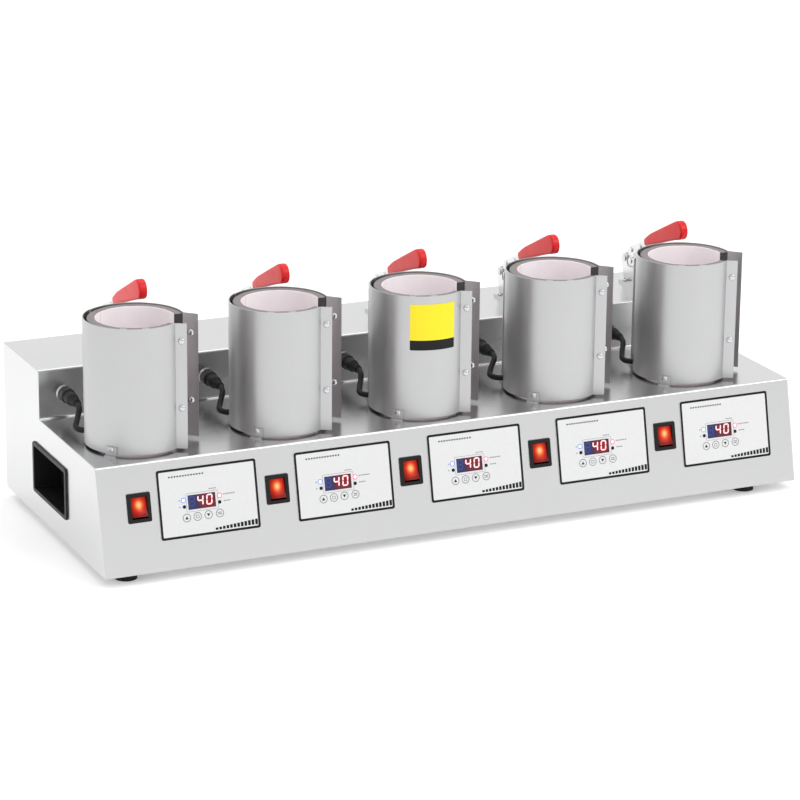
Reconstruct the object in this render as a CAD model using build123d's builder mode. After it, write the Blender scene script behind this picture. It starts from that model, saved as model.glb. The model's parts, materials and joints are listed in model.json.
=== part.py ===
from build123d import *
import os
from math import cos, sin, radians, degrees, atan2, hypot, pi, tan

os.makedirs("parts", exist_ok=True)

# ---------------------------------------------------------------------------
# Five-station mug heat press.
# Frame: origin on the ground under the middle of the machine, X along its
# length (operator's right), Y towards the back, Z up.  Millimetres.
# ---------------------------------------------------------------------------

# chassis
half_len = 411.5            # outer half length
sheet = 1.5                 # sheet steel
z_floor_gap = 10.0          # underside of the chassis
z_deck = 123.0              # deck on which the mug bands stand
z_box = 178.0               # top of the rear box
y_front_bot = -161.8        # lower edge of the sloping front
y_front_top = -136.45       # upper edge of the sloping front
y_riser = 42.9              # riser between deck and rear box
y_rear = 161.8
bend_r = 2.5                # outer bend radius
y_rear_panel = 158.3        # outer face of the rear panel, inset

# stations
pitch = 163.34
n_st = 5
x_first = -342.31
st_x = [x_first + i * pitch for i in range(n_st)]
y_st = -68.83
panel_pitch = 154.44        # front controls have their own pitch
sw_x = [-367.56 + i * panel_pitch for i in range(n_st)]
ov_x = [-290.85 + i * panel_pitch for i in range(n_st)]

# mug bands
band_ro = 53.5
band_t = 1.2
band_ri = band_ro - band_t
z_band0 = 125.5
z_band1 = 261.0
z_jaw0 = 126.5
z_jaw1 = 260.5
a_split = 130.0             # band hinge, degrees about the station centre
a_front_end = -56.5         # front flange root
a_rear_end = -6.4           # rear flange root
front_flange_len = 12.3
front_flange_dir = -26.6
rear_flange_len = 17.0
rear_flange_dir = -45.0

# heating pads
pad_ri = 41.6
pad_ro = 50.6
pad_dx = 1.6                # pads sit a little towards the mouth
z_pad0 = 127.5
z_pad1 = 259.6

# band hinge
hinge_r = 57.0
knuckle_r = 3.0
hinge_pin_r = 1.5
hx = hinge_r * cos(radians(a_split))
hy = hinge_r * sin(radians(a_split))

# toggle clamp, x relative to its station
cl_x = 33.0
z_cl = 206.0
y_a = 124.0                 # lever pivot in the body
crank = 15.0                # lever pivot to link pin, and link length
y_b = y_a - crank
y_t = y_b - crank
lever_open = 65.0
stroke = 2 * crank * (1 - cos(radians(lever_open)))
plunger_r = 4.0
y_saddle = y_st + 48.3      # back face of the thrust saddle on the jaw
jaw_open = 8.0

# front slope frame: s up the slope, n outward
slope_len = hypot(y_front_top - y_front_bot, z_deck - z_floor_gap)
s_y = (y_front_top - y_front_bot) / slope_len
s_z = (z_deck - z_floor_gap) / slope_len
n_y, n_z = -s_z, s_y        # outward normal of the slope


def slope_pt(x, s, n=0.0):
    """Point at height s up the slope (0 at the lower edge), n outward."""
    return (x, y_front_bot + s * s_y + n * n_y, z_floor_gap + s * s_z + n * n_z)


def slope_plane(x, s, n=0.0):
    """Plane on the slope: local x along X, local y up the slope, z outward."""
    return Plane(origin=slope_pt(x, s, n), x_dir=(1, 0, 0), z_dir=(0, n_y, n_z))


s_ctl = (76.73 - z_floor_gap) / s_z     # overlay centre height on the slope
s_sw = (77.8 - z_floor_gap) / s_z       # rocker centre height on the slope

# rocker switch
bez_w, bez_h, bez_t = 26.33, 31.5, 1.8
rock_w, rock_open_w = 17.0, 17.6
rock_open_h = 23.2
rock_pivot_n = -2.5
rock_tilt = 10.0

# overlays and display
ov_w, ov_h, ov_t = 111.5, 73.8, 0.8
dw_dx, dw_ds = -7.65, -0.55
dw_w, dw_h = 31.4, 15.9

# sockets on the riser
sock_dx = -38.5
z_sock = 148.5

# feet
feet_xy = [(-380.0, -138.0), (358.0, -138.0), (-380.0, 132.0), (358.0, 132.0)]
foot_r = 12.0

# screws, all M4 pan head
clamp_scr_y = (82.0, 115.5)
scr_r, scr_head_r, scr_head_h = 2.0, 3.2, 2.2

# carry handles
hd_y0, hd_y1, hd_z0, hd_z1 = -47.5, 62.0, 37.0, 94.5
hd_lip, hd_t, hd_depth = 4.5, 2.0, 30.0
hd_trim = 2.0


def outer_profile():
    """Corner points of the chassis side outline in (y, z)."""
    return [(y_front_bot, z_floor_gap), (y_front_top, z_deck), (y_riser, z_deck),
            (y_riser, z_box), (y_rear, z_box)]


# ---------------------------------------------------------------- top cover
# One bent sheet: sloping front, deck, riser, rear box top, short rear lip.
yz = Plane(origin=(-(half_len - sheet), 0, 0), x_dir=(0, 1, 0), z_dir=(1, 0, 0))
lip_z = 166.0
with BuildPart() as top_cover:
    with BuildSketch(yz) as prof:
        with BuildLine():
            FilletPolyline((y_front_bot, z_floor_gap), (y_front_top, z_deck), (y_riser, z_deck),
                           (y_riser, z_box), (y_rear, z_box), (y_rear, lip_z),
                           radius=[bend_r, bend_r, bend_r, bend_r])
            # inner side, one sheet thickness in
            FilletPolyline((y_rear, lip_z), (y_rear - sheet, lip_z), (y_rear - sheet, z_box - sheet),
                           (y_riser + sheet, z_box - sheet), (y_riser + sheet, z_deck - sheet),
                           (y_front_top + sheet * 0.80, z_deck - sheet),
                           (y_front_bot + sheet / s_z, z_floor_gap),
                           radius=[0.05, 1.0, 1.0, 1.0, 1.0])
            Line((y_front_bot + sheet / s_z, z_floor_gap), (y_front_bot, z_floor_gap))
        make_face()
    extrude(amount=2 * (half_len - sheet))
    # rocker switch cut-outs
    for x in sw_x:
        with BuildSketch(slope_plane(x, s_sw, 3.0)):
            Rectangle(22.6, 28.6)
        extrude(amount=-8.0, mode=Mode.SUBTRACT)
    # display windows
    for x in ov_x:
        with BuildSketch(slope_plane(x + dw_dx, s_ctl + dw_ds, 3.0)):
            Rectangle(dw_w, dw_h)
        extrude(amount=-8.0, mode=Mode.SUBTRACT)
    # socket holes in the riser
    with BuildSketch(Plane(origin=(0, y_riser - 2, 0), x_dir=(1, 0, 0), z_dir=(0, -1, 0))):
        with Locations(*[(x + sock_dx, z_sock) for x in st_x]):
            Circle(8.1)
    extrude(amount=-6.0, mode=Mode.SUBTRACT)
    # clamp screw holes in the box top
    with BuildSketch(Plane.XY.offset(z_box + 1)):
        with Locations(*[(x + cl_x + dx, y) for x in st_x for dx in (-7.6, 7.6) for y in clamp_scr_y]):
            Circle(scr_r + 0.2)
    extrude(amount=-6.0, mode=Mode.SUBTRACT)
    # hinge foot screw holes in the deck
    with BuildSketch(Plane.XY.offset(z_deck + 1)):
        with Locations(*[(x + hx + dx, y_st + hy + dy) for x in st_x for dx, dy in ((14.0, 4.0),)]):
            Circle(scr_r + 0.2)
    extrude(amount=-6.0, mode=Mode.SUBTRACT)
top_cover.part.label = "top_cover"
export_step(top_cover.part, "parts/top_cover.step")


# ------------------------------------------------------------- side panels
# Flat end plates with the chassis outline, a rear return flange for the rear
# panel, and the carry-handle cut-out.
for side, name in ((-1, "left"), (1, "right")):
    x_in = side * (half_len - sheet)
    with BuildPart() as side_panel:
        with BuildSketch(Plane(origin=(x_in, 0, 0), x_dir=(0, 1, 0), z_dir=(1, 0, 0))):
            with BuildLine():
                FilletPolyline((y_front_bot, z_floor_gap), (y_front_top, z_deck), (y_riser, z_deck),
                               (y_riser, z_box), (y_rear, z_box), (y_rear, z_floor_gap),
                               radius=[bend_r, bend_r, bend_r, bend_r])
                Line((y_rear, z_floor_gap), (y_front_bot, z_floor_gap))
            make_face()
        extrude(amount=side * sheet)
        # soft outer edge
        outer_edges = side_panel.faces().sort_by(Axis.X)[-1 if side > 0 else 0].outer_wire().edges()
        fillet(outer_edges, radius=0.9)
        # rear return flange
        with BuildSketch(Plane.XY.offset(13.0)):
            with Locations((side * (half_len - sheet - 7.0), y_rear_panel - 1.5 * sheet)):
                Rectangle(14.0, sheet)
        extrude(amount=159.0)
        with BuildSketch(Plane(origin=(0, y_rear_panel + 1, 0), x_dir=(1, 0, 0), z_dir=(0, -1, 0))):
            with Locations(*[(side * (half_len - sheet - 7.0), z) for z in (30.0, 150.0)]):
                Circle(scr_r + 0.15)
        extrude(amount=6.0, mode=Mode.SUBTRACT)
        # carry handle cut-out
        with BuildSketch(Plane(origin=(side * (half_len + 2), 0, 0), x_dir=(0, 1, 0), z_dir=(side, 0, 0))):
            with Locations((side * 0.0 + (hd_y0 + hd_y1) / 2 * 1.0, (hd_z0 + hd_z1) / 2 * side)):
                Rectangle(hd_y1 - hd_y0 - 2 * hd_lip + 2 * hd_t + 0.4, hd_z1 - hd_z0 - 2 * hd_lip + 2 * hd_t + 0.4)
        extrude(amount=-6.0, mode=Mode.SUBTRACT)
    side_panel.part.label = f"side_panel_{name}"
    export_step(side_panel.part, f"parts/side_panel_{name}.step")


# -------------------------------------------------------------- rear panel
in_x, in_z = 340.0, 62.0     # mains inlet centre
vent_x = [-250.0, -150.0, -50.0, 50.0, 150.0]
rear_scr = [(sx * (half_len - sheet - 7.0), z) for sx in (-1, 1) for z in (30.0, 150.0)]
with BuildPart() as rear_panel:
    with BuildSketch(Plane(origin=(0, y_rear_panel, 0), x_dir=(1, 0, 0), z_dir=(0, -1, 0))):
        with Locations((0, (11.5 + 176.5) / 2)):
            Rectangle(2 * (half_len - sheet) - 0.6, 176.5 - 11.5)
    extrude(amount=sheet)
    # top flange under the box top
    with BuildSketch(Plane.XY.offset(z_box - sheet)):
        with Locations((0, y_rear_panel - sheet - 6.0)):
            Rectangle(2 * (half_len - sheet) - 32.0, 12.0)
    extrude(amount=-sheet)
    # mains inlet cut-out
    with BuildSketch(Plane(origin=(0, y_rear_panel + 1, 0), x_dir=(1, 0, 0), z_dir=(0, -1, 0))):
        with Locations((in_x, in_z)):
            Rectangle(28.0, 21.0)
    extrude(amount=6.0, mode=Mode.SUBTRACT)
    # ventilation slots
    with BuildSketch(Plane(origin=(0, y_rear_panel + 1, 0), x_dir=(1, 0, 0), z_dir=(0, -1, 0))):
        with Locations(*[(x + k * 7.0, 100.0) for x in vent_x for k in range(-3, 4)]):
            SlotOverall(34.0, 3.0, rotation=90)
    extrude(amount=6.0, mode=Mode.SUBTRACT)
    # screw holes
    with BuildSketch(Plane(origin=(0, y_rear_panel + 1, 0), x_dir=(1, 0, 0), z_dir=(0, -1, 0))):
        with Locations(*rear_scr):
            Circle(scr_r + 0.15)
    extrude(amount=6.0, mode=Mode.SUBTRACT)
rear_panel.part.label = "rear_panel"
export_step(rear_panel.part, "parts/rear_panel.step")


# -------------------------------------------------------------- base plate
with BuildPart() as base_plate:
    with BuildSketch(Plane.XY.offset(z_floor_gap)):
        with Locations((0, (-159.8 + 156.5) / 2)):
            Rectangle(2 * (half_len - sheet), 159.8 + 156.5)
    extrude(amount=sheet)
    # upturned side flanges
    with BuildSketch(Plane.XY.offset(z_floor_gap)):
        with Locations((-(half_len - 1.5 * sheet), 0), (half_len - 1.5 * sheet, 0)):
            Rectangle(sheet, 300.0)
    extrude(amount=14.0)
    with BuildSketch(Plane.XY.offset(z_floor_gap - 1)):
        with Locations(*feet_xy):
            Circle(scr_r + 0.15)
    extrude(amount=4.0, mode=Mode.SUBTRACT)
base_plate.part.label = "base_plate"
export_step(base_plate.part, "parts/base_plate.step")


# ------------------------------------------------------------- rubber feet
with BuildPart() as rubber_feet:
    with BuildSketch():
        with Locations(*feet_xy):
            Circle(foot_r)
    extrude(amount=z_floor_gap, taper=4)
    with BuildSketch():
        with Locations(*feet_xy):
            Circle(5.0)
    extrude(amount=4.5, mode=Mode.SUBTRACT)
    with BuildSketch():
        with Locations(*feet_xy):
            Circle(scr_r + 0.1)
    extrude(amount=z_floor_gap, mode=Mode.SUBTRACT)
rubber_feet.part.label = "rubber_feet"
export_step(rubber_feet.part, "parts/rubber_feet.step")


# ---------------------------------------------------------- pan head screws
def screw_planes():
    """Head-seat planes of every M4 pan head screw, z pointing out of the head."""
    planes = []
    for x in st_x:
        for dx in (-7.6, 7.6):
            for y in clamp_scr_y:
                planes.append(Plane(origin=(x + cl_x + dx, y, z_box + 3.0), z_dir=(0, 0, 1)))
        planes.append(Plane(origin=(x + hx + 14.0, y_st + hy + 4.0, z_deck + 1.2), z_dir=(0, 0, 1)))
        # radial screw of the front clip
        a = radians(a_clip)
        planes.append(Plane(origin=(x + (band_ro + 1.2) * cos(a), y_st + (band_ro + 1.2) * sin(a), z_clip),
                            z_dir=(cos(a), sin(a), 0)))
    for xx, zz in rear_scr:
        planes.append(Plane(origin=(xx, y_rear_panel, zz), z_dir=(0, 1, 0)))
    for xx, yy in feet_xy:
        planes.append(Plane(origin=(xx, yy, 4.5), z_dir=(0, 0, -1)))
    return planes


a_clip = -137.3             # visible clip, front left of each band
z_clip = 130.2

with BuildPart() as pan_head_screws:
    for pl in screw_planes():
        radial = abs(pl.z_dir.Z) < 0.1 and abs(pl.z_dir.Y) < 0.99
        shank = 3.0 if radial else 8.0
        with BuildSketch(pl):
            Circle(scr_r)
        extrude(amount=-shank)
        with BuildSketch(pl):
            Circle(scr_head_r)
        head = extrude(amount=scr_head_h, taper=18)
pan_head_screws.part.label = "pan_head_screws"
export_step(pan_head_screws.part, "parts/pan_head_screws.step")


# ------------------------------------------------------------ carry handles
# Recessed pull handles: a shallow trim flange outside, a closed pocket inside.
yc_h = (hd_y0 + hd_y1) / 2
zc_h = (hd_z0 + hd_z1) / 2
w_h = hd_y1 - hd_y0
h_h = hd_z1 - hd_z0
with BuildPart() as carry_handles:
    for side in (-1, 1):
        fp = Plane(origin=(side * half_len, yc_h, zc_h), x_dir=(0, side, 0), z_dir=(side, 0, 0))
        with BuildSketch(fp):
            RectangleRounded(w_h, h_h, 4.0)
        extrude(amount=hd_trim, taper=12)
        with BuildSketch(fp):
            RectangleRounded(w_h - 2 * hd_lip + 2 * hd_t, h_h - 2 * hd_lip + 2 * hd_t, 3.5)
        extrude(amount=-hd_depth)
        with BuildSketch(Plane(origin=(side * (half_len + hd_trim + 1), yc_h, zc_h), x_dir=(0, side, 0),
                               z_dir=(side, 0, 0))):
            RectangleRounded(w_h - 2 * hd_lip, h_h - 2 * hd_lip, 2.5)
        extrude(amount=-(hd_depth + hd_trim + 1 - 2.2), mode=Mode.SUBTRACT)
carry_handles.part.label = "carry_handles"
export_step(carry_handles.part, "parts/carry_handles.step")


# ------------------------------------------------------ controller overlays
with BuildPart() as controller_overlays:
    for x in ov_x:
        with BuildSketch(slope_plane(x, s_ctl)):
            RectangleRounded(ov_w, ov_h, 2.6)
            with Locations((dw_dx, dw_ds)):
                Rectangle(dw_w - 0.6, dw_h - 0.6, mode=Mode.SUBTRACT)
        extrude(amount=ov_t)
controller_overlays.part.label = "controller_overlays"
export_step(controller_overlays.part, "parts/controller_overlays.step")


# --------------------------------------------------------- display modules
with BuildPart() as display_modules:
    for x in ov_x:
        with BuildSketch(slope_plane(x + dw_dx, s_ctl + dw_ds, -9.5)):
            Rectangle(34.0, 19.0)
        extrude(amount=9.5 - sheet - 0.3)
        with BuildSketch(slope_plane(x + dw_dx, s_ctl + dw_ds, -2.0)):
            Rectangle(dw_w - 1.0, dw_h - 1.0)
        extrude(amount=2.5)
display_modules.part.label = "display_modules"
export_step(display_modules.part, "parts/display_modules.step")


# ------------------------------------------------------- controller boards
# Circuit boards on four pillars behind the slope, with the key switches
# soldered in a row under the film keys.
key_rel = [(-25.7, -16.2), (-13.7, -16.1), (-1.5, -15.8), (11.2, -15.7)]
with BuildPart() as controller_boards:
    for x in ov_x:
        with BuildSketch(slope_plane(x, s_ctl - 2.0, -9.5 - 1.6)):
            Rectangle(92.0, 56.0)
        extrude(amount=1.6)
        with BuildSketch(slope_plane(x, s_ctl - 2.0, -9.5)):
            with Locations((-42, -24), (42, -24), (-42, 24), (42, 24)):
                Circle(2.8)
        extrude(amount=9.5 - sheet - 0.05)
        with BuildSketch(slope_plane(x, s_ctl, -9.5)):
            with Locations(*key_rel):
                Rectangle(6.0, 6.0)
        extrude(amount=3.5)
        with BuildSketch(slope_plane(x, s_ctl, -6.0)):
            with Locations(*key_rel):
                Circle(1.7)
        extrude(amount=6.0 - sheet - 0.4)
controller_boards.part.label = "controller_boards"
export_step(controller_boards.part, "parts/controller_boards.step")


# ------------------------------------------------------------ power relays
with BuildPart() as power_relays:
    for x in ov_x:
        with BuildSketch(slope_plane(x + 26.0, s_ctl + 6.0, -9.5 - 1.6)):
            Rectangle(19.0, 15.5)
        extrude(amount=-15.5)
power_relays.part.label = "power_relays"
export_step(power_relays.part, "parts/power_relays.step")


# ----------------------------------------------------------- switch bodies
with BuildPart() as switch_bodies:
    for x in sw_x:
        with BuildSketch(slope_plane(x, s_sw)):
            RectangleRounded(bez_w, bez_h, 2.0)
        extrude(amount=bez_t, taper=14)
        with BuildSketch(slope_plane(x, s_sw)):
            Rectangle(22.0, 28.0)
        extrude(amount=-24.0)
        # rocker well
        with BuildSketch(slope_plane(x, s_sw, bez_t + 1)):
            Rectangle(rock_open_w, rock_open_h)
        extrude(amount=-(bez_t + 1 + 14.5), mode=Mode.SUBTRACT)
        # trunnion bores
        with BuildSketch(Plane(origin=slope_pt(x - 10.2, s_sw, rock_pivot_n), x_dir=(0, s_y, s_z), z_dir=(1, 0, 0))):
            Circle(1.30)
        extrude(amount=20.4, mode=Mode.SUBTRACT)
        # terminals
        with BuildSketch(slope_plane(x, s_sw, -24.0)):
            with Locations((-5.5, -8), (5.5, -8), (-5.5, 4), (5.5, 4)):
                Rectangle(0.8, 6.3)
        extrude(amount=-8.0)
switch_bodies.part.label = "switch_bodies"
export_step(switch_bodies.part, "parts/switch_bodies.step")


# ------------------------------------------------------------------ rockers
# Shown switched on: upper half pressed in by rock_tilt about the trunnion.
for i, x in enumerate(sw_x, 1):
    tilt = radians(-rock_tilt)
    sy = s_y * cos(tilt) - s_z * sin(tilt)
    sz = s_y * sin(tilt) + s_z * cos(tilt)
    with BuildPart() as rocker:
        with BuildSketch(Plane(origin=slope_pt(x - rock_w / 2, s_sw, rock_pivot_n),
                               x_dir=(0, sy, sz), z_dir=(1, 0, 0))):
            # local x up the slope, local y outward (plane z is +X)
            with BuildLine():
                Polyline((-10.4, 4.3), (-6.0, 3.35), (0.0, 2.9), (6.0, 3.35), (10.4, 4.3),
                         (10.0, 0.5), (7.2, -7.0), (-7.2, -7.0), (-10.0, 0.5), close=True)
            make_face()
        extrude(amount=rock_w)
        with BuildSketch(Plane(origin=slope_pt(x - rock_w / 2 - 1.3, s_sw, rock_pivot_n),
                               x_dir=(0, sy, sz), z_dir=(1, 0, 0))):
            Circle(1.25)
        extrude(amount=rock_w + 2.6)
    rocker.part.label = f"rocker_{i}"
    export_step(rocker.part, f"parts/rocker_{i}.step")


# ----------------------------------------------------------- panel sockets
with BuildPart() as panel_sockets:
    for x in st_x:
        ps = Plane(origin=(x + sock_dx, y_riser, z_sock), x_dir=(1, 0, 0), z_dir=(0, -1, 0))
        with BuildSketch(ps):
            Circle(9.6)
        extrude(amount=2.2)
        with BuildSketch(ps):
            Circle(8.0)
        extrude(amount=-14.0)
        with BuildSketch(ps.offset(-sheet)):
            RegularPolygon(11.0, 6)
        extrude(amount=-3.0)
        with BuildSketch(ps.offset(2.2)):
            Circle(6.2)
        extrude(amount=-9.0, mode=Mode.SUBTRACT)
panel_sockets.part.label = "panel_sockets"
export_step(panel_sockets.part, "parts/panel_sockets.step")


# ------------------------------------------------------------- cable plugs
plug_len = 33.0
y_plug_end = y_riser - 2.2 - plug_len
with BuildPart() as cable_plugs:
    for x in st_x:
        pp = Plane(origin=(x + sock_dx, y_riser - 2.2, z_sock), x_dir=(1, 0, 0), z_dir=(0, -1, 0))
        with BuildSketch(pp):
            Circle(8.4)
        extrude(amount=10.0)
        with BuildSketch(pp.offset(10.0)):
            Circle(7.0)
        extrude(amount=13.0)
        with BuildSketch(pp.offset(23.0)):
            Circle(6.0)
        extrude(amount=10.0, taper=9)
        with BuildSketch(pp):
            Circle(6.0)
        extrude(amount=-8.0)
cable_plugs.part.label = "cable_plugs"
export_step(cable_plugs.part, "parts/cable_plugs.step")


# ----------------------------------------------------------- heater cables
# Each lead is held at both ends: at its plug and at the band wall.
cable_r = 3.1
a_exit = 146.0
z_exit = 132.5
# per station: bend after the plug, mid point, and how far out the last bend
# stands from the station centre
lead_shape = [
    ((-38.5, -5.5, 148.5), (-45.5, -15.0, 138.0), 66.0, 131.0),
    ((-38.5, -6.0, 148.5), (-46.5, -15.5, 137.5), 66.5, 131.0),
    ((-38.5, -5.0, 148.5), (-44.5, -14.5, 137.5), 65.5, 130.5),
    ((-38.5, -8.0, 148.5), (-48.5, -15.0, 138.5), 70.0, 130.5),
    ((-38.5, -5.5, 148.5), (-46.0, -15.0, 138.0), 66.0, 131.0),
]
ae = radians(a_exit)
wall_pt = (49.75 * cos(ae), y_st + 49.75 * sin(ae))


def run_radii(pts):
    """Arc radius at each corner: 0.45 of its shorter run over tan(half turn)."""
    out = []
    for k in range(1, len(pts) - 1):
        v1 = Vector(*pts[k]) - Vector(*pts[k - 1])
        v2 = Vector(*pts[k + 1]) - Vector(*pts[k])
        turn = v1.get_angle(v2)
        out.append(0.45 * min(v1.length, v2.length) / tan(radians(turn) / 2))
    return out


with BuildPart() as heater_cables:
    for x, (p1, p2, r_out, z_out) in zip(st_x, lead_shape):
        pts = [(x + sock_dx, y_plug_end, z_sock), (x + p1[0], p1[1], p1[2]), (x + p2[0], p2[1], p2[2]),
               (x + r_out * cos(ae), y_st + r_out * sin(ae), z_out),
               (x + wall_pt[0], wall_pt[1], z_exit)]
        radii = run_radii(pts)
        with BuildLine() as route:
            FilletPolyline(*pts, radius=radii)
        length = sum(e.length for e in route.edges())
        with BuildSketch(Plane(origin=pts[0], z_dir=(0, -1, 0))) as sec:
            Circle(cable_r)
        lead = sweep(sections=sec.sketch, path=route.line)
        print("lead", round(length, 1), "mm, radii", [round(r, 1) for r in radii],
              "volume ratio", round(lead.volume / (length * pi * cable_r ** 2), 4) if lead is not None else "")
heater_cables.part.label = "heater_cables"
export_step(heater_cables.part, "parts/heater_cables.step")


# ------------------------------------------------------------- front bands
def knuckle_spans(fixed):
    """Height ranges of the hinge knuckles."""
    return [(138.0, 158.0), (228.0, 248.0)] if fixed else [(158.4, 227.6)]


fd = radians(front_flange_dir)
a_f = radians(a_front_end)
rm = band_ro - band_t / 2
with BuildPart() as front_bands:
    for x in st_x:
        with BuildSketch(Plane(origin=(x, y_st, z_band0))):
            with BuildLine():
                oa = CenterArc((0, 0), band_ro, a_split + 0.7, 360 + a_front_end - a_split - 0.7)
                ia = CenterArc((0, 0), band_ri, a_split + 0.7, 360 + a_front_end - a_split - 0.7)
                Line(oa @ 0, ia @ 0)
                Line(oa @ 1, ia @ 1)
            make_face()
            with BuildLine():
                p0 = (rm * cos(a_f) - 0.9 * cos(fd), rm * sin(a_f) - 0.9 * sin(fd))
                p1 = (rm * cos(a_f) + front_flange_len * cos(fd), rm * sin(a_f) + front_flange_len * sin(fd))
                nx, ny = sin(fd) * band_t / 2, -cos(fd) * band_t / 2
                Polyline((p0[0] + nx, p0[1] + ny), (p1[0] + nx, p1[1] + ny),
                         (p1[0] - nx, p1[1] - ny), (p0[0] - nx, p0[1] - ny), close=True)
            make_face()
        extrude(amount=z_band1 - z_band0)
        # hinge leaf and knuckles
        for z0, z1 in knuckle_spans(True):
            with BuildSketch(Plane(origin=(x, y_st, z0))):
                with BuildLine():
                    lo = CenterArc((0, 0), band_ro + 1.2, a_split + 0.9, 11.0)
                    li = CenterArc((0, 0), band_ro - 0.3, a_split + 0.9, 11.0)
                    Line(lo @ 0, li @ 0)
                    Line(lo @ 1, li @ 1)
                make_face()
                with Locations((hx, hy)):
                    Circle(knuckle_r)
            extrude(amount=z1 - z0)
        with BuildSketch(Plane(origin=(x, y_st, z_band0))):
            with Locations((hx, hy)):
                Circle(hinge_pin_r + 0.05)
        extrude(amount=z_band1 - z_band0, mode=Mode.SUBTRACT)
        # two small retaining tabs folded in over the pad
        for at in (-122.0, -96.0):
            with BuildSketch(Plane(origin=(x, y_st, z_band1 - 1.0))):
                with BuildLine():
                    to = CenterArc((0, 0), band_ri + 0.4, at - 4.0, 8.0)
                    ti = CenterArc((0, 0), band_ri - 3.2, at - 4.0, 8.0)
                    Line(to @ 0, ti @ 0)
                    Line(to @ 1, ti @ 1)
                make_face()
            extrude(amount=1.0)
        # lead hole, clip screw hole, rivet holes
        with BuildSketch(Plane(origin=(x + 40 * cos(ae), y_st + 40 * sin(ae), z_exit), z_dir=(cos(ae), sin(ae), 0))):
            Circle(cable_r + 0.7)
        extrude(amount=20.0, mode=Mode.SUBTRACT)
        ac = radians(a_clip)
        with BuildSketch(Plane(origin=(x + 49 * cos(ac), y_st + 49 * sin(ac), z_clip), z_dir=(cos(ac), sin(ac), 0))):
            Circle(scr_r + 0.15)
        extrude(amount=6.0, mode=Mode.SUBTRACT)
        fm = (rm * cos(a_f) + 6.6 * cos(fd), rm * sin(a_f) + 6.6 * sin(fd))
        for zr in (242.2, 169.6):
            with BuildSketch(Plane(origin=(x + fm[0], y_st + fm[1], zr), z_dir=(sin(fd), -cos(fd), 0))):
                Circle(1.75)
            extrude(amount=3.0, both=True, mode=Mode.SUBTRACT)
front_bands.part.label = "front_bands"
export_step(front_bands.part, "parts/front_bands.step")


# ------------------------------------------------------------- band rivets
# Domed rivets in the front flange; they clinch the pad's edge strip.
with BuildPart() as band_rivets:
    for x in st_x:
        for zr in (242.2, 169.6):
            rp = Plane(origin=(x + fm[0], y_st + fm[1], zr), z_dir=(sin(fd), -cos(fd), 0))
            with BuildSketch(rp.offset(-band_t / 2 - 0.9)):
                Circle(1.7)
            extrude(amount=band_t + 1.0)
            with BuildSketch(rp.offset(band_t / 2)):
                Circle(3.3)
            extrude(amount=1.9, taper=28)
            with BuildSketch(rp.offset(-band_t / 2)):
                Circle(2.8)
            extrude(amount=-1.0, taper=15)
band_rivets.part.label = "band_rivets"
export_step(band_rivets.part, "parts/band_rivets.step")


# --------------------------------------------------------------- band feet
# Per station: an L clip at the front left, riveted outside the wall and
# standing on the deck, and a foot plate under the hinge pin.
with BuildPart() as band_feet:
    ac = radians(a_clip)
    for x in st_x:
        # upright leaf against the wall, 12.5 wide
        half_w = degrees(6.2 / band_ro)
        with BuildSketch(Plane(origin=(x, y_st, z_deck))):
            with BuildLine():
                co = CenterArc((0, 0), band_ro + 1.2, a_clip - half_w, 2 * half_w)
                ci = CenterArc((0, 0), band_ro + 0.02, a_clip - half_w, 2 * half_w)
                Line(co @ 0, ci @ 0)
                Line(co @ 1, ci @ 1)
            make_face()
        extrude(amount=10.6)
        # toe on the deck
        with BuildSketch(Plane(origin=(x, y_st, z_deck))):
            with BuildLine():
                co = CenterArc((0, 0), band_ro + 5.2, a_clip - half_w, 2 * half_w)
                ci = CenterArc((0, 0), band_ro + 0.6, a_clip - half_w, 2 * half_w)
                Line(co @ 0, ci @ 0)
                Line(co @ 1, ci @ 1)
            make_face()
        extrude(amount=1.2)
        with BuildSketch(Plane(origin=(x + 50 * cos(ac), y_st + 50 * sin(ac), z_clip), z_dir=(cos(ac), sin(ac), 0))):
            Circle(scr_r + 0.15)
        extrude(amount=8.0, mode=Mode.SUBTRACT)
        # hinge foot plate
        with BuildSketch(Plane(origin=(x + hx, y_st + hy, z_deck))):
            with BuildLine():
                Polyline((-4.5, -3.5), (4.0, -4.5), (19.0, -1.5), (19.0, 9.0), (4.0, 7.0), (-4.5, 4.0), close=True)
            make_face()
        extrude(amount=1.2)
        with BuildSketch(Plane(origin=(x + hx, y_st + hy, z_deck))):
            Circle(3.4)
        extrude(amount=14.6)
        with BuildSketch(Plane(origin=(x + hx, y_st + hy, z_deck))):
            Circle(hinge_pin_r + 0.02)
        extrude(amount=20.0, mode=Mode.SUBTRACT)
        with BuildSketch(Plane(origin=(x + hx, y_st + hy, z_deck))):
            with Locations((14.0, 4.0)):
                Circle(scr_r + 0.15)
        extrude(amount=2.0, mode=Mode.SUBTRACT)
        # opened at the wall side so the post stands clear of the band
        with BuildSketch(Plane(origin=(x, y_st, z_deck + 1.3))):
            Circle(band_ro + 0.35)
        extrude(amount=14.0, mode=Mode.SUBTRACT)
band_feet.part.label = "band_feet"
export_step(band_feet.part, "parts/band_feet.step")


# --------------------------------------------------------- band hinge pins
with BuildPart() as band_hinge_pins:
    with BuildSketch(Plane.XY.offset(z_deck)):
        with Locations(*[(x + hx, y_st + hy) for x in st_x]):
            Circle(hinge_pin_r)
    extrude(amount=248.4 - z_deck)
    with BuildSketch(Plane.XY.offset(248.4)):
        with Locations(*[(x + hx, y_st + hy) for x in st_x]):
            Circle(2.7)
    extrude(amount=1.4)
band_hinge_pins.part.label = "band_hinge_pins"
export_step(band_hinge_pins.part, "parts/band_hinge_pins.step")


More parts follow.
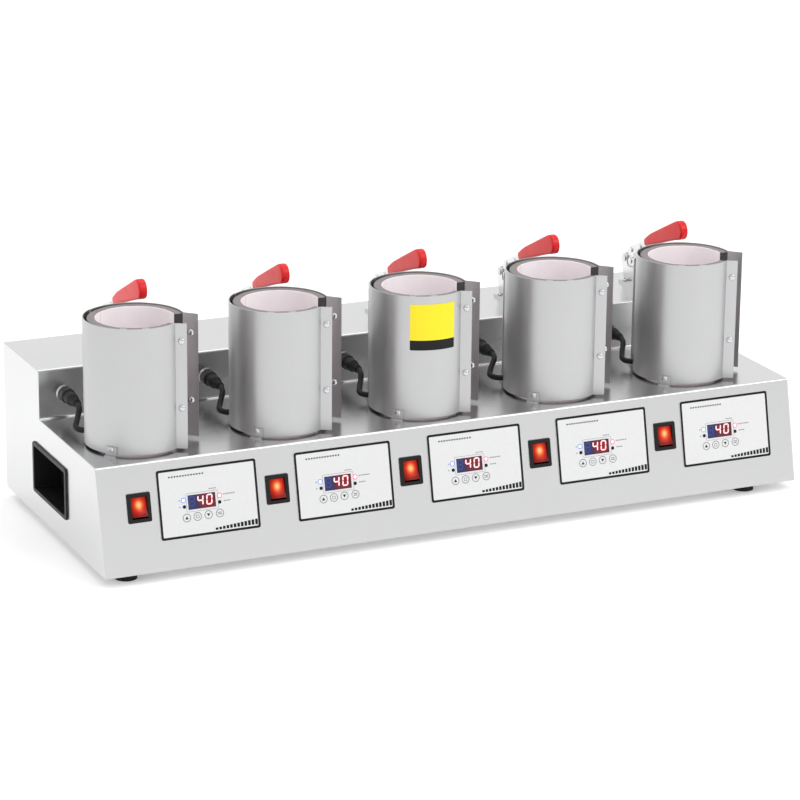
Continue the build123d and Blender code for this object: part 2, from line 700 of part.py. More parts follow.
# -------------------------------------------------------------- front pads
with BuildPart() as front_pads:
    for x in st_x:
        with BuildSketch(Plane(origin=(x + pad_dx, y_st, z_pad0))):
            with BuildLine():
                oa = CenterArc((0, 0), pad_ro, a_split + 1.2, 360 - 53.5 - a_split - 1.2)
                ia = CenterArc((0, 0), pad_ri, a_split + 1.2, 360 - 53.5 - a_split - 1.2)
                Line(oa @ 0, ia @ 0)
                Line(oa @ 1, ia @ 1)
            make_face()
        extrude(amount=z_pad1 - z_pad0)
front_pads.part.label = "front_pads"
export_step(front_pads.part, "parts/front_pads.step")


# ------------------------------------------------------ jaws: rear bands
rd = radians(rear_flange_dir)
a_r = radians(a_rear_end)
for i, x in enumerate(st_x, 1):
    with BuildPart() as rear_band:
        with BuildSketch(Plane(origin=(x, y_st, z_jaw0))):
            with BuildLine():
                oa = CenterArc((0, 0), band_ro, a_rear_end, a_split - 0.7 - a_rear_end)
                ia = CenterArc((0, 0), band_ri, a_rear_end, a_split - 0.7 - a_rear_end)
                Line(oa @ 0, ia @ 0)
                Line(oa @ 1, ia @ 1)
            make_face()
            with BuildLine():
                p0 = (rm * cos(a_r) - 0.2 * cos(rd), rm * sin(a_r) - 0.2 * sin(rd))
                p1 = (rm * cos(a_r) + rear_flange_len * cos(rd), rm * sin(a_r) + rear_flange_len * sin(rd))
                nx, ny = sin(rd) * band_t / 2, -cos(rd) * band_t / 2
                Polyline((p0[0] + nx, p0[1] + ny), (p1[0] + nx, p1[1] + ny),
                         (p1[0] - nx, p1[1] - ny), (p0[0] - nx, p0[1] - ny), close=True)
            make_face()
        extrude(amount=z_jaw1 - z_jaw0)
        for z0, z1 in knuckle_spans(False):
            with BuildSketch(Plane(origin=(x, y_st, z0))):
                with BuildLine():
                    lo = CenterArc((0, 0), band_ro + 1.2, a_split - 11.9, 11.0)
                    li = CenterArc((0, 0), band_ro - 0.3, a_split - 11.9, 11.0)
                    Line(lo @ 0, li @ 0)
                    Line(lo @ 1, li @ 1)
                make_face()
                with Locations((hx, hy)):
                    Circle(knuckle_r)
            extrude(amount=z1 - z0)
        with BuildSketch(Plane(origin=(x, y_st, z_jaw0))):
            with Locations((hx, hy)):
                Circle(hinge_pin_r + 0.06)
        extrude(amount=z_jaw1 - z_jaw0, mode=Mode.SUBTRACT)
        # thrust saddle for the clamp plunger
        with BuildSketch(Plane(origin=(x, y_st, z_cl - 8.0))):
            with Locations((cl_x, 41.0)):
                Rectangle(14.0, 2 * (48.3 - 41.0))
            Circle(band_ro - 0.4, mode=Mode.SUBTRACT)
        extrude(amount=16.0)
        # riveted heads on the flange
        jm = (rm * cos(a_r) + 9.0 * cos(rd), rm * sin(a_r) + 9.0 * sin(rd))
        for zr in (239.6, 165.8):
            rp = Plane(origin=(x + jm[0], y_st + jm[1], zr), z_dir=(sin(rd), -cos(rd), 0))
            with BuildSketch(rp.offset(band_t / 2 - 0.2)):
                Circle(3.3)
            extrude(amount=2.0, taper=28)
            with BuildSketch(rp.offset(-band_t / 2 + 0.2)):
                Circle(2.8)
            extrude(amount=-1.2, taper=15)
    rear_band.part.label = f"rear_band_{i}"
    export_step(rear_band.part, f"parts/rear_band_{i}.step")

    with BuildPart() as rear_pad:
        with BuildSketch(Plane(origin=(x + pad_dx, y_st, z_pad0))):
            with BuildLine():
                oa = CenterArc((0, 0), pad_ro, -7.5, a_split - 1.2 + 7.5)
                ia = CenterArc((0, 0), pad_ri, -7.5, a_split - 1.2 + 7.5)
                Line(oa @ 0, ia @ 0)
                Line(oa @ 1, ia @ 1)
            make_face()
        extrude(amount=z_pad1 - z_pad0)
    rear_pad.part.label = f"rear_pad_{i}"
    export_step(rear_pad.part, f"parts/rear_pad_{i}.step")


# ------------------------------------------------------------ clamp bodies
# Push-pull toggle clamp bodies: base plate, two cheeks with tall rear ears,
# and the front guide block for the plunger.
ear_r = 6.0
with BuildPart() as clamp_bodies:
    for x in st_x:
        with BuildSketch(Plane(origin=(x + cl_x, 0, z_box))):
            with Locations((0, (54.0 + 125.5) / 2)):
                RectangleRounded(22.0, 125.5 - 54.0, 2.0)
        extrude(amount=3.0)
        for x0 in (-4.0, 2.0):
            with BuildSketch(Plane(origin=(x + cl_x + x0, 0, 0), x_dir=(0, 1, 0), z_dir=(1, 0, 0))):
                with BuildLine():
                    Polyline((56.0, z_box + 2), (y_a - 1.0, z_box + 2), (y_a + ear_r, z_cl - 8),
                             (y_a + ear_r, z_cl), (y_a - ear_r, z_cl), (y_a - ear_r - 2, z_box + 20.5),
                             (56.0, z_box + 20.5), close=True)
                make_face()
                with Locations((y_a, z_cl)):
                    Circle(ear_r)
            extrude(amount=2.0)
        with BuildSketch(Plane(origin=(x + cl_x, 56.0, 0), x_dir=(1, 0, 0), z_dir=(0, -1, 0))):
            with Locations((0, (z_box + 2 + z_cl + 3.5) / 2)):
                Rectangle(13.0, z_cl + 3.5 - z_box - 2)
            with Locations((0, z_cl + 3.5 - 2.0)):
                Circle(6.5)
        extrude(amount=-17.0)
        # plunger guide bore
        with BuildSketch(Plane(origin=(x + cl_x, 50.0, z_cl), x_dir=(1, 0, 0), z_dir=(0, -1, 0))):
            Circle(plunger_r + 0.06)
        extrude(amount=-30.0, mode=Mode.SUBTRACT)
        # pivot bore in the ears
        with BuildSketch(Plane(origin=(x + cl_x - 6, y_a, z_cl), x_dir=(0, 1, 0), z_dir=(1, 0, 0))):
            Circle(2.55)
        extrude(amount=12.0, mode=Mode.SUBTRACT)
        with BuildSketch(Plane(origin=(x + cl_x, 0, z_box - 1))):
            with Locations(*[(dx, y) for dx in (-7.6, 7.6) for y in clamp_scr_y]):
                Circle(scr_r + 0.15)
        extrude(amount=6.0, mode=Mode.SUBTRACT)
clamp_bodies.part.label = "clamp_bodies"
export_step(clamp_bodies.part, "parts/clamp_bodies.step")


# -------------------------------------------------------------- clamp pins
with BuildPart() as clamp_pins:
    for x in st_x:
        cp = Plane(origin=(x + cl_x, y_a, z_cl), x_dir=(0, 1, 0), z_dir=(1, 0, 0))
        with BuildSketch(cp.offset(-4.05)):
            Circle(2.5)
        extrude(amount=8.1)
        for off in (-5.25, 4.05):
            with BuildSketch(cp.offset(off)):
                Circle(3.9)
            extrude(amount=1.2)
clamp_pins.part.label = "clamp_pins"
export_step(clamp_pins.part, "parts/clamp_pins.step")


# ------------------------------------- clamp levers, grips, links, plungers
pc = (112.0, 218.5)          # upper rivets of the lever, (y, z)
pd = (91.0, 227.2)
root = (76.0, 236.3)         # where the grip starts
tang = (16.0, 260.5)
lev_t = 3.4
for i, x in enumerate(st_x, 1):
    xc = x + cl_x
    lp = Plane(origin=(xc - lev_t / 2, 0, 0), x_dir=(0, 1, 0), z_dir=(1, 0, 0))
    with BuildPart() as lever_arm:
        for (p, rp), (q, rq) in ((((y_a, z_cl), 5.6), (pc, 5.0)), (((y_b, z_cl), 4.6), (pc, 5.0)),
                                 (((y_a, z_cl), 5.6), ((y_b, z_cl), 4.6)),
                                 ((pc, 5.0), (pd, 4.6)), ((pd, 4.6), (root, 3.2)), ((root, 3.2), (tang, 3.2))):
            with BuildSketch(lp):
                with Locations(p):
                    Circle(rp)
                with Locations(q):
                    Circle(rq)
                make_hull()
            extrude(amount=lev_t)
        # rivet bosses
        with BuildSketch(lp.offset(-1.4)):
            with Locations(pc, pd):
                Circle(3.1)
        extrude(amount=lev_t + 2.8)
        with BuildSketch(lp.offset(-3)):
            with Locations((y_a, z_cl)):
                Circle(2.56)
            with Locations((y_b, z_cl)):
                Circle(2.06)
        extrude(amount=lev_t + 6, mode=Mode.SUBTRACT)
    lever_arm.part.label = f"lever_arm_{i}"
    export_step(lever_arm.part, f"parts/lever_arm_{i}.step")

    with BuildPart() as lever_grip:
        with BuildSketch(Plane(origin=(xc - 6.5, 0, 0), x_dir=(0, 1, 0), z_dir=(1, 0, 0))):
            with BuildLine():
                Polyline((78.0, 240.2), (62.2, 250.8), (9.2, 276.6), (-0.5, 279.4), (-7.5, 275.5),
                         (-10.3, 267.5), (-6.5, 259.5), (12.2, 253.8), (48.0, 241.6), (75.2, 232.6), close=True)
            make_face()
        extrude(amount=13.0)
        # soften the long edges
        fillet(lever_grip.faces().filter_by(Axis.X).edges(), radius=2.2)
        # socket for the lever's tang
        with BuildSketch(lp.offset(-0.02)):
            for p, q in ((root, tang),):
                with Locations(p):
                    Circle(3.22)
                with Locations(q):
                    Circle(3.22)
                make_hull()
        extrude(amount=lev_t + 0.04, mode=Mode.SUBTRACT)
        with BuildSketch(lp.offset(-0.02)):
            with Locations(pd):
                Circle(4.62)
            with Locations(root):
                Circle(3.22)
            make_hull()
        extrude(amount=lev_t + 0.04, mode=Mode.SUBTRACT)
    lever_grip.part.label = f"lever_grip_{i}"
    export_step(lever_grip.part, f"parts/lever_grip_{i}.step")

    with BuildPart() as clamp_link:
        for x0 in (-4.0, 2.0):
            with BuildSketch(Plane(origin=(xc + x0, 0, 0), x_dir=(0, 1, 0), z_dir=(1, 0, 0))):
                with Locations((y_b, z_cl)):
                    Circle(4.3)
                with Locations((y_t, z_cl)):
                    Circle(4.3)
                make_hull()
            extrude(amount=2.0)
        with BuildSketch(Plane(origin=(xc - 4.0, 0, 0), x_dir=(0, 1, 0), z_dir=(1, 0, 0))):
            with Locations((y_b, z_cl), (y_t, z_cl)):
                Circle(2.0)
        extrude(amount=8.0)
        for x0 in (-5.2, 4.0):
            with BuildSketch(Plane(origin=(xc + x0, 0, 0), x_dir=(0, 1, 0), z_dir=(1, 0, 0))):
                with Locations((y_b, z_cl), (y_t, z_cl)):
                    Circle(3.4)
            extrude(amount=1.2)
    clamp_link.part.label = f"clamp_link_{i}"
    export_step(clamp_link.part, f"parts/clamp_link_{i}.step")

    y_tip = y_saddle + 0.35
    with BuildPart() as plunger:
        py = Plane(origin=(xc, y_tip, z_cl), x_dir=(1, 0, 0), z_dir=(0, 1, 0))
        with BuildSketch(py):
            Circle(6.6)
        extrude(amount=7.0)
        with BuildSketch(py.offset(7.0)):
            Circle(plunger_r)
        extrude(amount=83.5 - y_tip - 7.0)
        # lock nut behind the tip
        with BuildSketch(py.offset(9.5)):
            RegularPolygon(7.4, 6)
        extrude(amount=4.5)
        # rear tongue with the lost-motion slot for the link pin
        with BuildSketch(Plane(origin=(xc - lev_t / 2, 0, 0), x_dir=(0, 1, 0), z_dir=(1, 0, 0))):
            with BuildLine():
                Polyline((81.0, z_cl - 3.9), (98.2, z_cl - 3.9), (98.2, z_cl + 3.9), (81.0, z_cl + 3.9), close=True)
            make_face()
        extrude(amount=lev_t)
        with BuildSketch(Plane(origin=(xc - 6, 0, 0), x_dir=(0, 1, 0), z_dir=(1, 0, 0))):
            with Locations((y_t - 2.1, z_cl)):
                SlotOverall(2 * 2.3 + 4.6, 2 * 2.3)
        extrude(amount=12.0, mode=Mode.SUBTRACT)
    plunger.part.label = f"plunger_{i}"
    export_step(plunger.part, f"parts/plunger_{i}.step")


# ------------------------------------------------------------- mains inlet
with BuildPart() as mains_inlet:
    ip = Plane(origin=(in_x, y_rear_panel, in_z), x_dir=(-1, 0, 0), z_dir=(0, 1, 0))
    with BuildSketch(ip):
        RectangleRounded(48.0, 27.0, 3.0)
    extrude(amount=2.4)
    with BuildSketch(ip):
        Rectangle(27.4, 20.4)
    extrude(amount=-24.0)
    with BuildSketch(ip.offset(2.4)):
        with BuildLine():
            Polyline((-12.2, -8.2), (12.2, -8.2), (12.2, 3.2), (7.2, 8.2), (-7.2, 8.2), (-12.2, 3.2), close=True)
        make_face()
    extrude(amount=-18.5, mode=Mode.SUBTRACT)
    with BuildSketch(ip.offset(-16.2)):
        with Locations((-7.0, 0.5), (7.0, 0.5), (0, -3.5)):
            Rectangle(2.0, 4.0)
    extrude(amount=13.0)
mains_inlet.part.label = "mains_inlet"
export_step(mains_inlet.part, "parts/mains_inlet.step")


# ---------------------------------------------------------- terminal block
with BuildPart() as terminal_block:
    with BuildSketch(Plane(origin=(250.0, 120.0, z_floor_gap + sheet))):
        Rectangle(78.0, 22.0)
    extrude(amount=10.0)
    with BuildSketch(Plane(origin=(250.0, 120.0, z_floor_gap + sheet + 10.0))):
        Rectangle(78.0, 12.0)
    extrude(amount=8.0)
    with BuildSketch(Plane(origin=(250.0, 120.0, z_floor_gap + sheet + 18.0))):
        with Locations(*[(-33 + 11 * k, 0) for k in range(7)]):
            Circle(2.5)
    extrude(amount=-5.0, mode=Mode.SUBTRACT)
terminal_block.part.label = "terminal_block"
export_step(terminal_block.part, "parts/terminal_block.step")
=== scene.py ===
import json
import math
from math import cos, sin, radians, pi, hypot

import bmesh
import bpy
from mathutils import Matrix, Vector


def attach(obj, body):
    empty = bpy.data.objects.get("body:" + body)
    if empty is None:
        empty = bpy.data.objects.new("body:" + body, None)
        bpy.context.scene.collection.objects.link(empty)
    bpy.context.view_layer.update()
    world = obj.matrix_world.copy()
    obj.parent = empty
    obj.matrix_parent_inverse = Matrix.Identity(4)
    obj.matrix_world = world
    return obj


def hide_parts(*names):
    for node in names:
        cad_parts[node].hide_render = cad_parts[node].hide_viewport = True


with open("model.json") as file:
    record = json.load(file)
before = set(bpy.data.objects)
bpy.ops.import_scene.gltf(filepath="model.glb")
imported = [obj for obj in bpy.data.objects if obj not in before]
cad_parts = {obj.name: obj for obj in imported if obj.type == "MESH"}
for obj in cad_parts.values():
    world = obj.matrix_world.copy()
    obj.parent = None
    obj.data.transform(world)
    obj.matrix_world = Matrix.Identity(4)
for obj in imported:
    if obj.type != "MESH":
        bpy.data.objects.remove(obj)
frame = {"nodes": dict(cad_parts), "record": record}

for stray in ("Cube", "Light", "Camera"):
    if stray in bpy.data.objects and stray not in frame["nodes"]:
        bpy.data.objects.remove(bpy.data.objects[stray])
bpy.context.view_layer.update()

scene = bpy.context.scene
nodes = frame["nodes"]
MM = 0.001

# ------------------------------------------------------------------ layout
# The same numbers as the CAD, millimetres.
st_x = [-342.31 + i * 163.34 for i in range(5)]
y_st = -68.83
sw_x = [-367.56 + i * 154.44 for i in range(5)]
ov_x = [-290.85 + i * 154.44 for i in range(5)]
slope_len = hypot(25.35, 113.0)
s_y, s_z = 25.35 / slope_len, 113.0 / slope_len
n_y, n_z = -s_z, s_y
s_ctl = (76.73 - 10.0) / s_z
s_sw = (77.8 - 10.0) / s_z
z_box = 178.0


def slope(x, s, n=0.0):
    """Millimetres on the front slope to a point in metres."""
    return Vector((x, -161.8 + s * s_y + n * n_y, 10.0 + s * s_z + n * n_z)) * MM


# --------------------------------------------------------------- materials
def new_mat(name):
    m = bpy.data.materials.new(name)
    m.use_nodes = True
    nt = m.node_tree
    nt.nodes.clear()
    out = nt.nodes.new("ShaderNodeOutputMaterial")
    bsdf = nt.nodes.new("ShaderNodeBsdfPrincipled")
    nt.links.new(bsdf.outputs["BSDF"], out.inputs["Surface"])
    return m, nt, bsdf


def coords(nt, scale=(1, 1, 1), kind="Object"):
    tc = nt.nodes.new("ShaderNodeTexCoord")
    mp = nt.nodes.new("ShaderNodeMapping")
    mp.inputs["Scale"].default_value = scale
    nt.links.new(tc.outputs[kind], mp.inputs["Vector"])
    return mp.outputs["Vector"]


def noise(nt, vec, scale, detail=2.0, rough=0.5):
    n = nt.nodes.new("ShaderNodeTexNoise")
    n.inputs["Scale"].default_value = scale
    n.inputs["Detail"].default_value = detail
    n.inputs["Roughness"].default_value = rough
    nt.links.new(vec, n.inputs["Vector"])
    return n.outputs["Fac"]


def ramp(nt, fac, stops, interp="LINEAR"):
    r = nt.nodes.new("ShaderNodeValToRGB")
    r.color_ramp.interpolation = interp
    el = r.color_ramp.elements
    el[0].position, el[0].color = stops[0][0], (*stops[0][1], 1)
    el[1].position, el[1].color = stops[-1][0], (*stops[-1][1], 1)
    for p, c in stops[1:-1]:
        e = el.new(p)
        e.color = (*c, 1)
    nt.links.new(fac, r.inputs["Fac"])
    return r.outputs["Color"]


def map_range(nt, fac, a, b, lo=0.0, hi=1.0):
    r = nt.nodes.new("ShaderNodeMapRange")
    r.inputs["From Min"].default_value = lo
    r.inputs["From Max"].default_value = hi
    r.inputs["To Min"].default_value = a
    r.inputs["To Max"].default_value = b
    nt.links.new(fac, r.inputs["Value"])
    return r.outputs["Result"]


def math_node(nt, op, a, b=None):
    n = nt.nodes.new("ShaderNodeMath")
    n.operation = op
    for k, v in enumerate((a, b)):
        if v is None:
            continue
        if isinstance(v, (int, float)):
            n.inputs[k].default_value = v
        else:
            nt.links.new(v, n.inputs[k])
    return n.outputs[0]


def bump(nt, bsdf, height, strength, distance, previous=None):
    b = nt.nodes.new("ShaderNodeBump")
    b.inputs["Strength"].default_value = strength
    b.inputs["Distance"].default_value = distance
    nt.links.new(height, b.inputs["Height"])
    if previous is not None:
        nt.links.new(previous, b.inputs["Normal"])
    nt.links.new(b.outputs["Normal"], bsdf.inputs["Normal"])
    return b.outputs["Normal"]


def mul(c, k):
    return tuple(min(1.0, v * k) for v in c)


def plain(name, base, var=0.05, scale=400.0, rough=(0.4, 0.5), metallic=0.0, bumps=((900.0, 0.1, 0.0001),),
          spec=0.5, coat=0.0, coat_rough=0.1, ior=1.5, stretch=(1, 1, 1), emission=None, strength=0.0):
    """A procedural finish: mottled colour, uneven gloss and a fine relief."""
    m, nt, bsdf = new_mat(name)
    v = coords(nt, stretch)
    f = noise(nt, v, scale, 4.0, 0.6)
    col = ramp(nt, f, [(0.3, mul(base, 1 - var)), (0.7, mul(base, 1 + var))])
    nt.links.new(col, bsdf.inputs["Base Color"])
    r = noise(nt, v, scale * 0.37, 3.0)
    nt.links.new(map_range(nt, r, rough[0], rough[1], 0.3, 0.7), bsdf.inputs["Roughness"])
    prev = None
    for sc, st, di in bumps:
        prev = bump(nt, bsdf, noise(nt, v, sc, 2.0), st, di, prev)
    bsdf.inputs["Metallic"].default_value = metallic
    bsdf.inputs["Specular IOR Level"].default_value = spec
    bsdf.inputs["IOR"].default_value = ior
    bsdf.inputs["Coat Weight"].default_value = coat
    bsdf.inputs["Coat Roughness"].default_value = coat_rough
    if emission is not None:
        nt.links.new(ramp(nt, f, [(0.3, mul(emission, 0.94)), (0.7, emission)]), bsdf.inputs["Emission Color"])
        bsdf.inputs["Emission Strength"].default_value = strength
    return m


def powder():
    m, nt, bsdf = new_mat("powder_coat_grey")
    v = coords(nt)
    big = noise(nt, v, 9.0, 3.0)
    fine = noise(nt, v, 1500.0, 2.0)
    mix = math_node(nt, "ADD", math_node(nt, "MULTIPLY", big, 0.35), math_node(nt, "MULTIPLY", fine, 0.65))
    base = (0.705, 0.707, 0.711)
    nt.links.new(ramp(nt, mix, [(0.36, mul(base, 0.975)), (0.5, base), (0.64, mul(base, 1.02))]),
                 bsdf.inputs["Base Color"])
    nt.links.new(map_range(nt, fine, 0.21, 0.27, 0.3, 0.7), bsdf.inputs["Roughness"])
    p = bump(nt, bsdf, noise(nt, v, 620.0, 2.0), 0.07, 0.00008)
    bump(nt, bsdf, noise(nt, v, 45.0, 2.0), 0.05, 0.0004, p)
    bsdf.inputs["Specular IOR Level"].default_value = 0.45
    bsdf.inputs["Metallic"].default_value = 1.0
    return m


def band_metal():
    """Satin stainless sheet: faint upright brush lines and a fine grain."""
    m, nt, bsdf = new_mat("satin_band_steel")
    up = coords(nt, (1.0, 1.0, 0.02))
    lines = noise(nt, up, 900.0, 3.0, 0.6)
    v = coords(nt)
    grain = noise(nt, v, 1300.0, 2.0)
    cloud = noise(nt, v, 16.0, 3.0)
    mix = math_node(nt, "ADD", math_node(nt, "MULTIPLY", lines, 0.16), math_node(nt, "MULTIPLY", grain, 0.44))
    mix = math_node(nt, "ADD", mix, math_node(nt, "MULTIPLY", cloud, 0.4))
    base = (0.535, 0.537, 0.542)
    nt.links.new(ramp(nt, mix, [(0.36, mul(base, 0.955)), (0.5, base), (0.64, mul(base, 1.04))]),
                 bsdf.inputs["Base Color"])
    nt.links.new(map_range(nt, mix, 0.34, 0.46, 0.35, 0.65), bsdf.inputs["Roughness"])
    p = bump(nt, bsdf, lines, 0.02, 0.00004)
    bump(nt, bsdf, grain, 0.10, 0.00005, p)
    bsdf.inputs["Metallic"].default_value = 0.98
    return m


def pad_lining():
    """Pale silicone-coated cloth, with its weave."""
    m, nt, bsdf = new_mat("pad_lining_cloth")
    v = coords(nt)
    w = nt.nodes.new("ShaderNodeTexWave")
    w.wave_type, w.bands_direction = "BANDS", "Z"
    w.inputs["Scale"].default_value = 160.0
    w.inputs["Distortion"].default_value = 1.2
    w.inputs["Detail"].default_value = 2.0
    nt.links.new(v, w.inputs["Vector"])
    w2 = nt.nodes.new("ShaderNodeTexWave")
    w2.wave_type, w2.bands_direction = "BANDS", "X"
    w2.inputs["Scale"].default_value = 160.0
    w2.inputs["Distortion"].default_value = 1.2
    nt.links.new(v, w2.inputs["Vector"])
    weave = math_node(nt, "MULTIPLY", w.outputs["Fac"], w2.outputs["Fac"])
    cloud = noise(nt, v, 28.0, 3.0)
    mix = math_node(nt, "ADD", math_node(nt, "MULTIPLY", weave, 0.25), math_node(nt, "MULTIPLY", cloud, 0.75))
    base = (0.93, 0.862, 0.886)
    nt.links.new(ramp(nt, mix, [(0.3, mul(base, 0.95)), (0.62, mul(base, 1.03))]), bsdf.inputs["Base Color"])
    nt.links.new(map_range(nt, cloud, 0.55, 0.7, 0.3, 0.7), bsdf.inputs["Roughness"])
    bump(nt, bsdf, weave, 0.25, 0.00012)
    bsdf.inputs["Sheen Weight"].default_value = 0.15
    bsdf.inputs["Sheen Roughness"].default_value = 0.5
    return m


def rocker_glow():
    """Translucent red lens with the lamp's bright spot behind it."""
    m, nt, bsdf = new_mat("rocker_lit_red")
    tc = nt.nodes.new("ShaderNodeTexCoord")
    sep = nt.nodes.new("ShaderNodeSeparateXYZ")
    nt.links.new(tc.outputs["Generated"], sep.inputs["Vector"])
    dx = math_node(nt, "MULTIPLY", math_node(nt, "SUBTRACT", sep.outputs["X"], 0.50), 1.0)
    dz = math_node(nt, "MULTIPLY", math_node(nt, "SUBTRACT", sep.outputs["Z"], 0.62), 1.05)
    d2 = math_node(nt, "ADD", math_node(nt, "MULTIPLY", dx, dx), math_node(nt, "MULTIPLY", dz, dz))
    d = math_node(nt, "SQRT", d2)
    wob = noise(nt, coords(nt), 260.0, 2.0)
    d = math_node(nt, "ADD", d, math_node(nt, "MULTIPLY", math_node(nt, "SUBTRACT", wob, 0.5), 0.06))
    em = ramp(nt, d, [(0.0, (1.0, 0.76, 0.46)), (0.11, (1.0, 0.50, 0.20)), (0.22, (0.86, 0.13, 0.02)),
                      (0.36, (0.50, 0.018, 0.004)), (0.55, (0.16, 0.004, 0.002)), (0.75, (0.05, 0.002, 0.001))])
    nt.links.new(em, bsdf.inputs["Emission Color"])
    bsdf.inputs["Emission Strength"].default_value = 0.98
    base = ramp(nt, wob, [(0.3, (0.09, 0.003, 0.002)), (0.7, (0.12, 0.004, 0.002))])
    nt.links.new(base, bsdf.inputs["Base Color"])
    nt.links.new(map_range(nt, wob, 0.16, 0.26, 0.3, 0.7), bsdf.inputs["Roughness"])
    bump(nt, bsdf, noise(nt, coords(nt), 700.0), 0.05, 0.00005)
    bsdf.inputs["Specular IOR Level"].default_value = 0.16
    return m


def window_glow():
    """Display window: unlit blue digit place on the left, dark red on the right."""
    m, nt, bsdf = new_mat("display_filter")
    tc = nt.nodes.new("ShaderNodeTexCoord")
    sep = nt.nodes.new("ShaderNodeSeparateXYZ")
    nt.links.new(tc.outputs["Generated"], sep.inputs["Vector"])
    wob = noise(nt, coords(nt), 120.0, 2.0)
    f = math_node(nt, "ADD", sep.outputs["X"], math_node(nt, "MULTIPLY", math_node(nt, "SUBTRACT", wob, 0.5), 0.05))
    col = ramp(nt, f, [(0.0, (0.012, 0.018, 0.10)), (0.27, (0.012, 0.016, 0.095)), (0.36, (0.035, 0.008, 0.03)),
                       (0.5, (0.10, 0.008, 0.022)), (0.86, (0.11, 0.008, 0.020)), (1.0, (0.05, 0.006, 0.018))])
    nt.links.new(col, bsdf.inputs["Base Color"])
    nt.links.new(col, bsdf.inputs["Emission Color"])
    bsdf.inputs["Emission Strength"].default_value = 0.35
    nt.links.new(map_range(nt, wob, 0.16, 0.24, 0.3, 0.7), bsdf.inputs["Roughness"])
    bump(nt, bsdf, noise(nt, coords(nt), 500.0), 0.03, 0.00004)
    return m


M = {
    "powder_coat": powder(),
    "band_steel": band_metal(),
    "foot_rubber": plain("black_foot_rubber", (0.008, 0.008, 0.009), 0.2, 600, (0.6, 0.75), bumps=((1100, 0.2, 0.0001),), spec=0.25),
    "zinc_screw": plain("bright_zinc", (0.63, 0.63, 0.64), 0.05, 700, (0.10, 0.18), 1.0, ((1200, 0.06, 0.00005),)),
    "black_plastic": plain("black_moulding", (0.011, 0.0105, 0.0105), 0.15, 500, (0.34, 0.46), bumps=((1400, 0.16, 0.00006),), spec=0.22),
    "overlay_film": plain("printed_film", (0.72, 0.722, 0.728), 0.015, 260, (0.36, 0.46), bumps=((1500, 0.06, 0.00004),)),
    "circuit_board": plain("solder_mask", (0.02, 0.16, 0.06), 0.1, 500, (0.3, 0.4)),
    "display_window": plain("window_frame_dark", (0.02, 0.008, 0.012), 0.1, 300, (0.16, 0.26)),
    "relay_plastic": plain("relay_case", (0.04, 0.07, 0.22), 0.08, 500, (0.4, 0.5)),
    "nickel_ring": plain("nickel_plate", (0.80, 0.79, 0.77), 0.06, 500, (0.2, 0.32), 1.0, ((1000, 0.05, 0.00005),)),
    "cable_jacket": plain("cable_sleeve", (0.008, 0.008, 0.009), 0.2, 700, (0.42, 0.58), bumps=((1600, 0.25, 0.0001),), spec=0.25),
    "silicone_pad": plain("silicone_edge", (0.235, 0.215, 0.212), 0.12, 420, (0.6, 0.75), bumps=((900, 0.2, 0.00012),)),
    "clamp_steel": plain("clamp_zinc", (0.72, 0.725, 0.73), 0.02, 90, (0.20, 0.28), 1.0, ((260, 0.03, 0.00003),)),
    "red_grip": plain("dipped_red_vinyl", (0.80, 0.005, 0.005), 0.05, 160, (0.28, 0.38), bumps=((320, 0.05, 0.0002), (1500, 0.05, 0.00005)), spec=0.36, coat=0.04, coat_rough=0.25),
    "red_rocker": rocker_glow(),
}
pad_in = pad_lining()
pad_body = M["silicone_pad"]
# painted shade: near-black finish for the pad's back, bottom, outer top edge and ends, standing in for the shadowed gap
# next to the band and the slot between the halves
pad_gap_shade = plain("pad_end_painted_shade", (0.030, 0.028, 0.028), 0.2, 500, (0.55, 0.7), bumps=((900, 0.25, 0.0001),))
pad_line = plain("pad_edge_orange", (0.34, 0.10, 0.06), 0.12, 600, (0.5, 0.65), bumps=((1100, 0.2, 0.0001),))
ink_black = plain("ink_black", (0.010, 0.010, 0.011), 0.12, 500, (0.4, 0.5), bumps=((1500, 0.05, 0.00003),), spec=0.2)
ink_grey = plain("ink_grey", (0.055, 0.055, 0.06), 0.08, 500, (0.4, 0.5), bumps=((1500, 0.05, 0.00003),))
ink_light = plain("ink_light_grey", (0.12, 0.12, 0.13), 0.06, 500, (0.4, 0.5), bumps=((1500, 0.05, 0.00003),))
window_mat = window_glow()
seg_lit = plain("segment_lit", (0.9, 0.5, 0.5), 0.02, 900, (0.3, 0.4), emission=(1.0, 0.52, 0.50), strength=1.05)
seg_halo = plain("segment_glow", (0.7, 0.02, 0.02), 0.03, 900, (0.3, 0.4), emission=(0.85, 0.02, 0.03), strength=0.85)
seg_off = plain("segment_unlit", (0.03, 0.045, 0.17), 0.08, 900, (0.25, 0.35))
led_blue = plain("led_blue_core", (0.9, 0.93, 1.0), 0.02, 900, (0.2, 0.3), emission=(0.92, 0.95, 1.0), strength=1.1)
led_blue_halo = plain("led_blue_halo", (0.10, 0.17, 0.88), 0.04, 900, (0.3, 0.4), emission=(0.16, 0.26, 0.98), strength=0.42)
# painted glow: a pale blue ring with no emission round the lamp's halo, the fade of the lamp's light painted as colour
led_blue_painted_glow = plain("led_blue_painted_glow", (0.42, 0.50, 0.86), 0.03, 900, (0.3, 0.4))
led_red = plain("led_red_core", (1.0, 0.9, 0.9), 0.02, 900, (0.2, 0.3), emission=(1.0, 0.90, 0.91), strength=1.1)
led_red_halo = plain("led_red_halo", (0.90, 0.08, 0.14), 0.04, 900, (0.3, 0.4), emission=(0.98, 0.10, 0.19), strength=0.42)
# painted glow: a pale red ring with no emission round the lamp's halo, the fade of the lamp's light painted as colour
led_red_painted_glow = plain("led_red_painted_glow", (0.86, 0.42, 0.48), 0.03, 900, (0.3, 0.4))
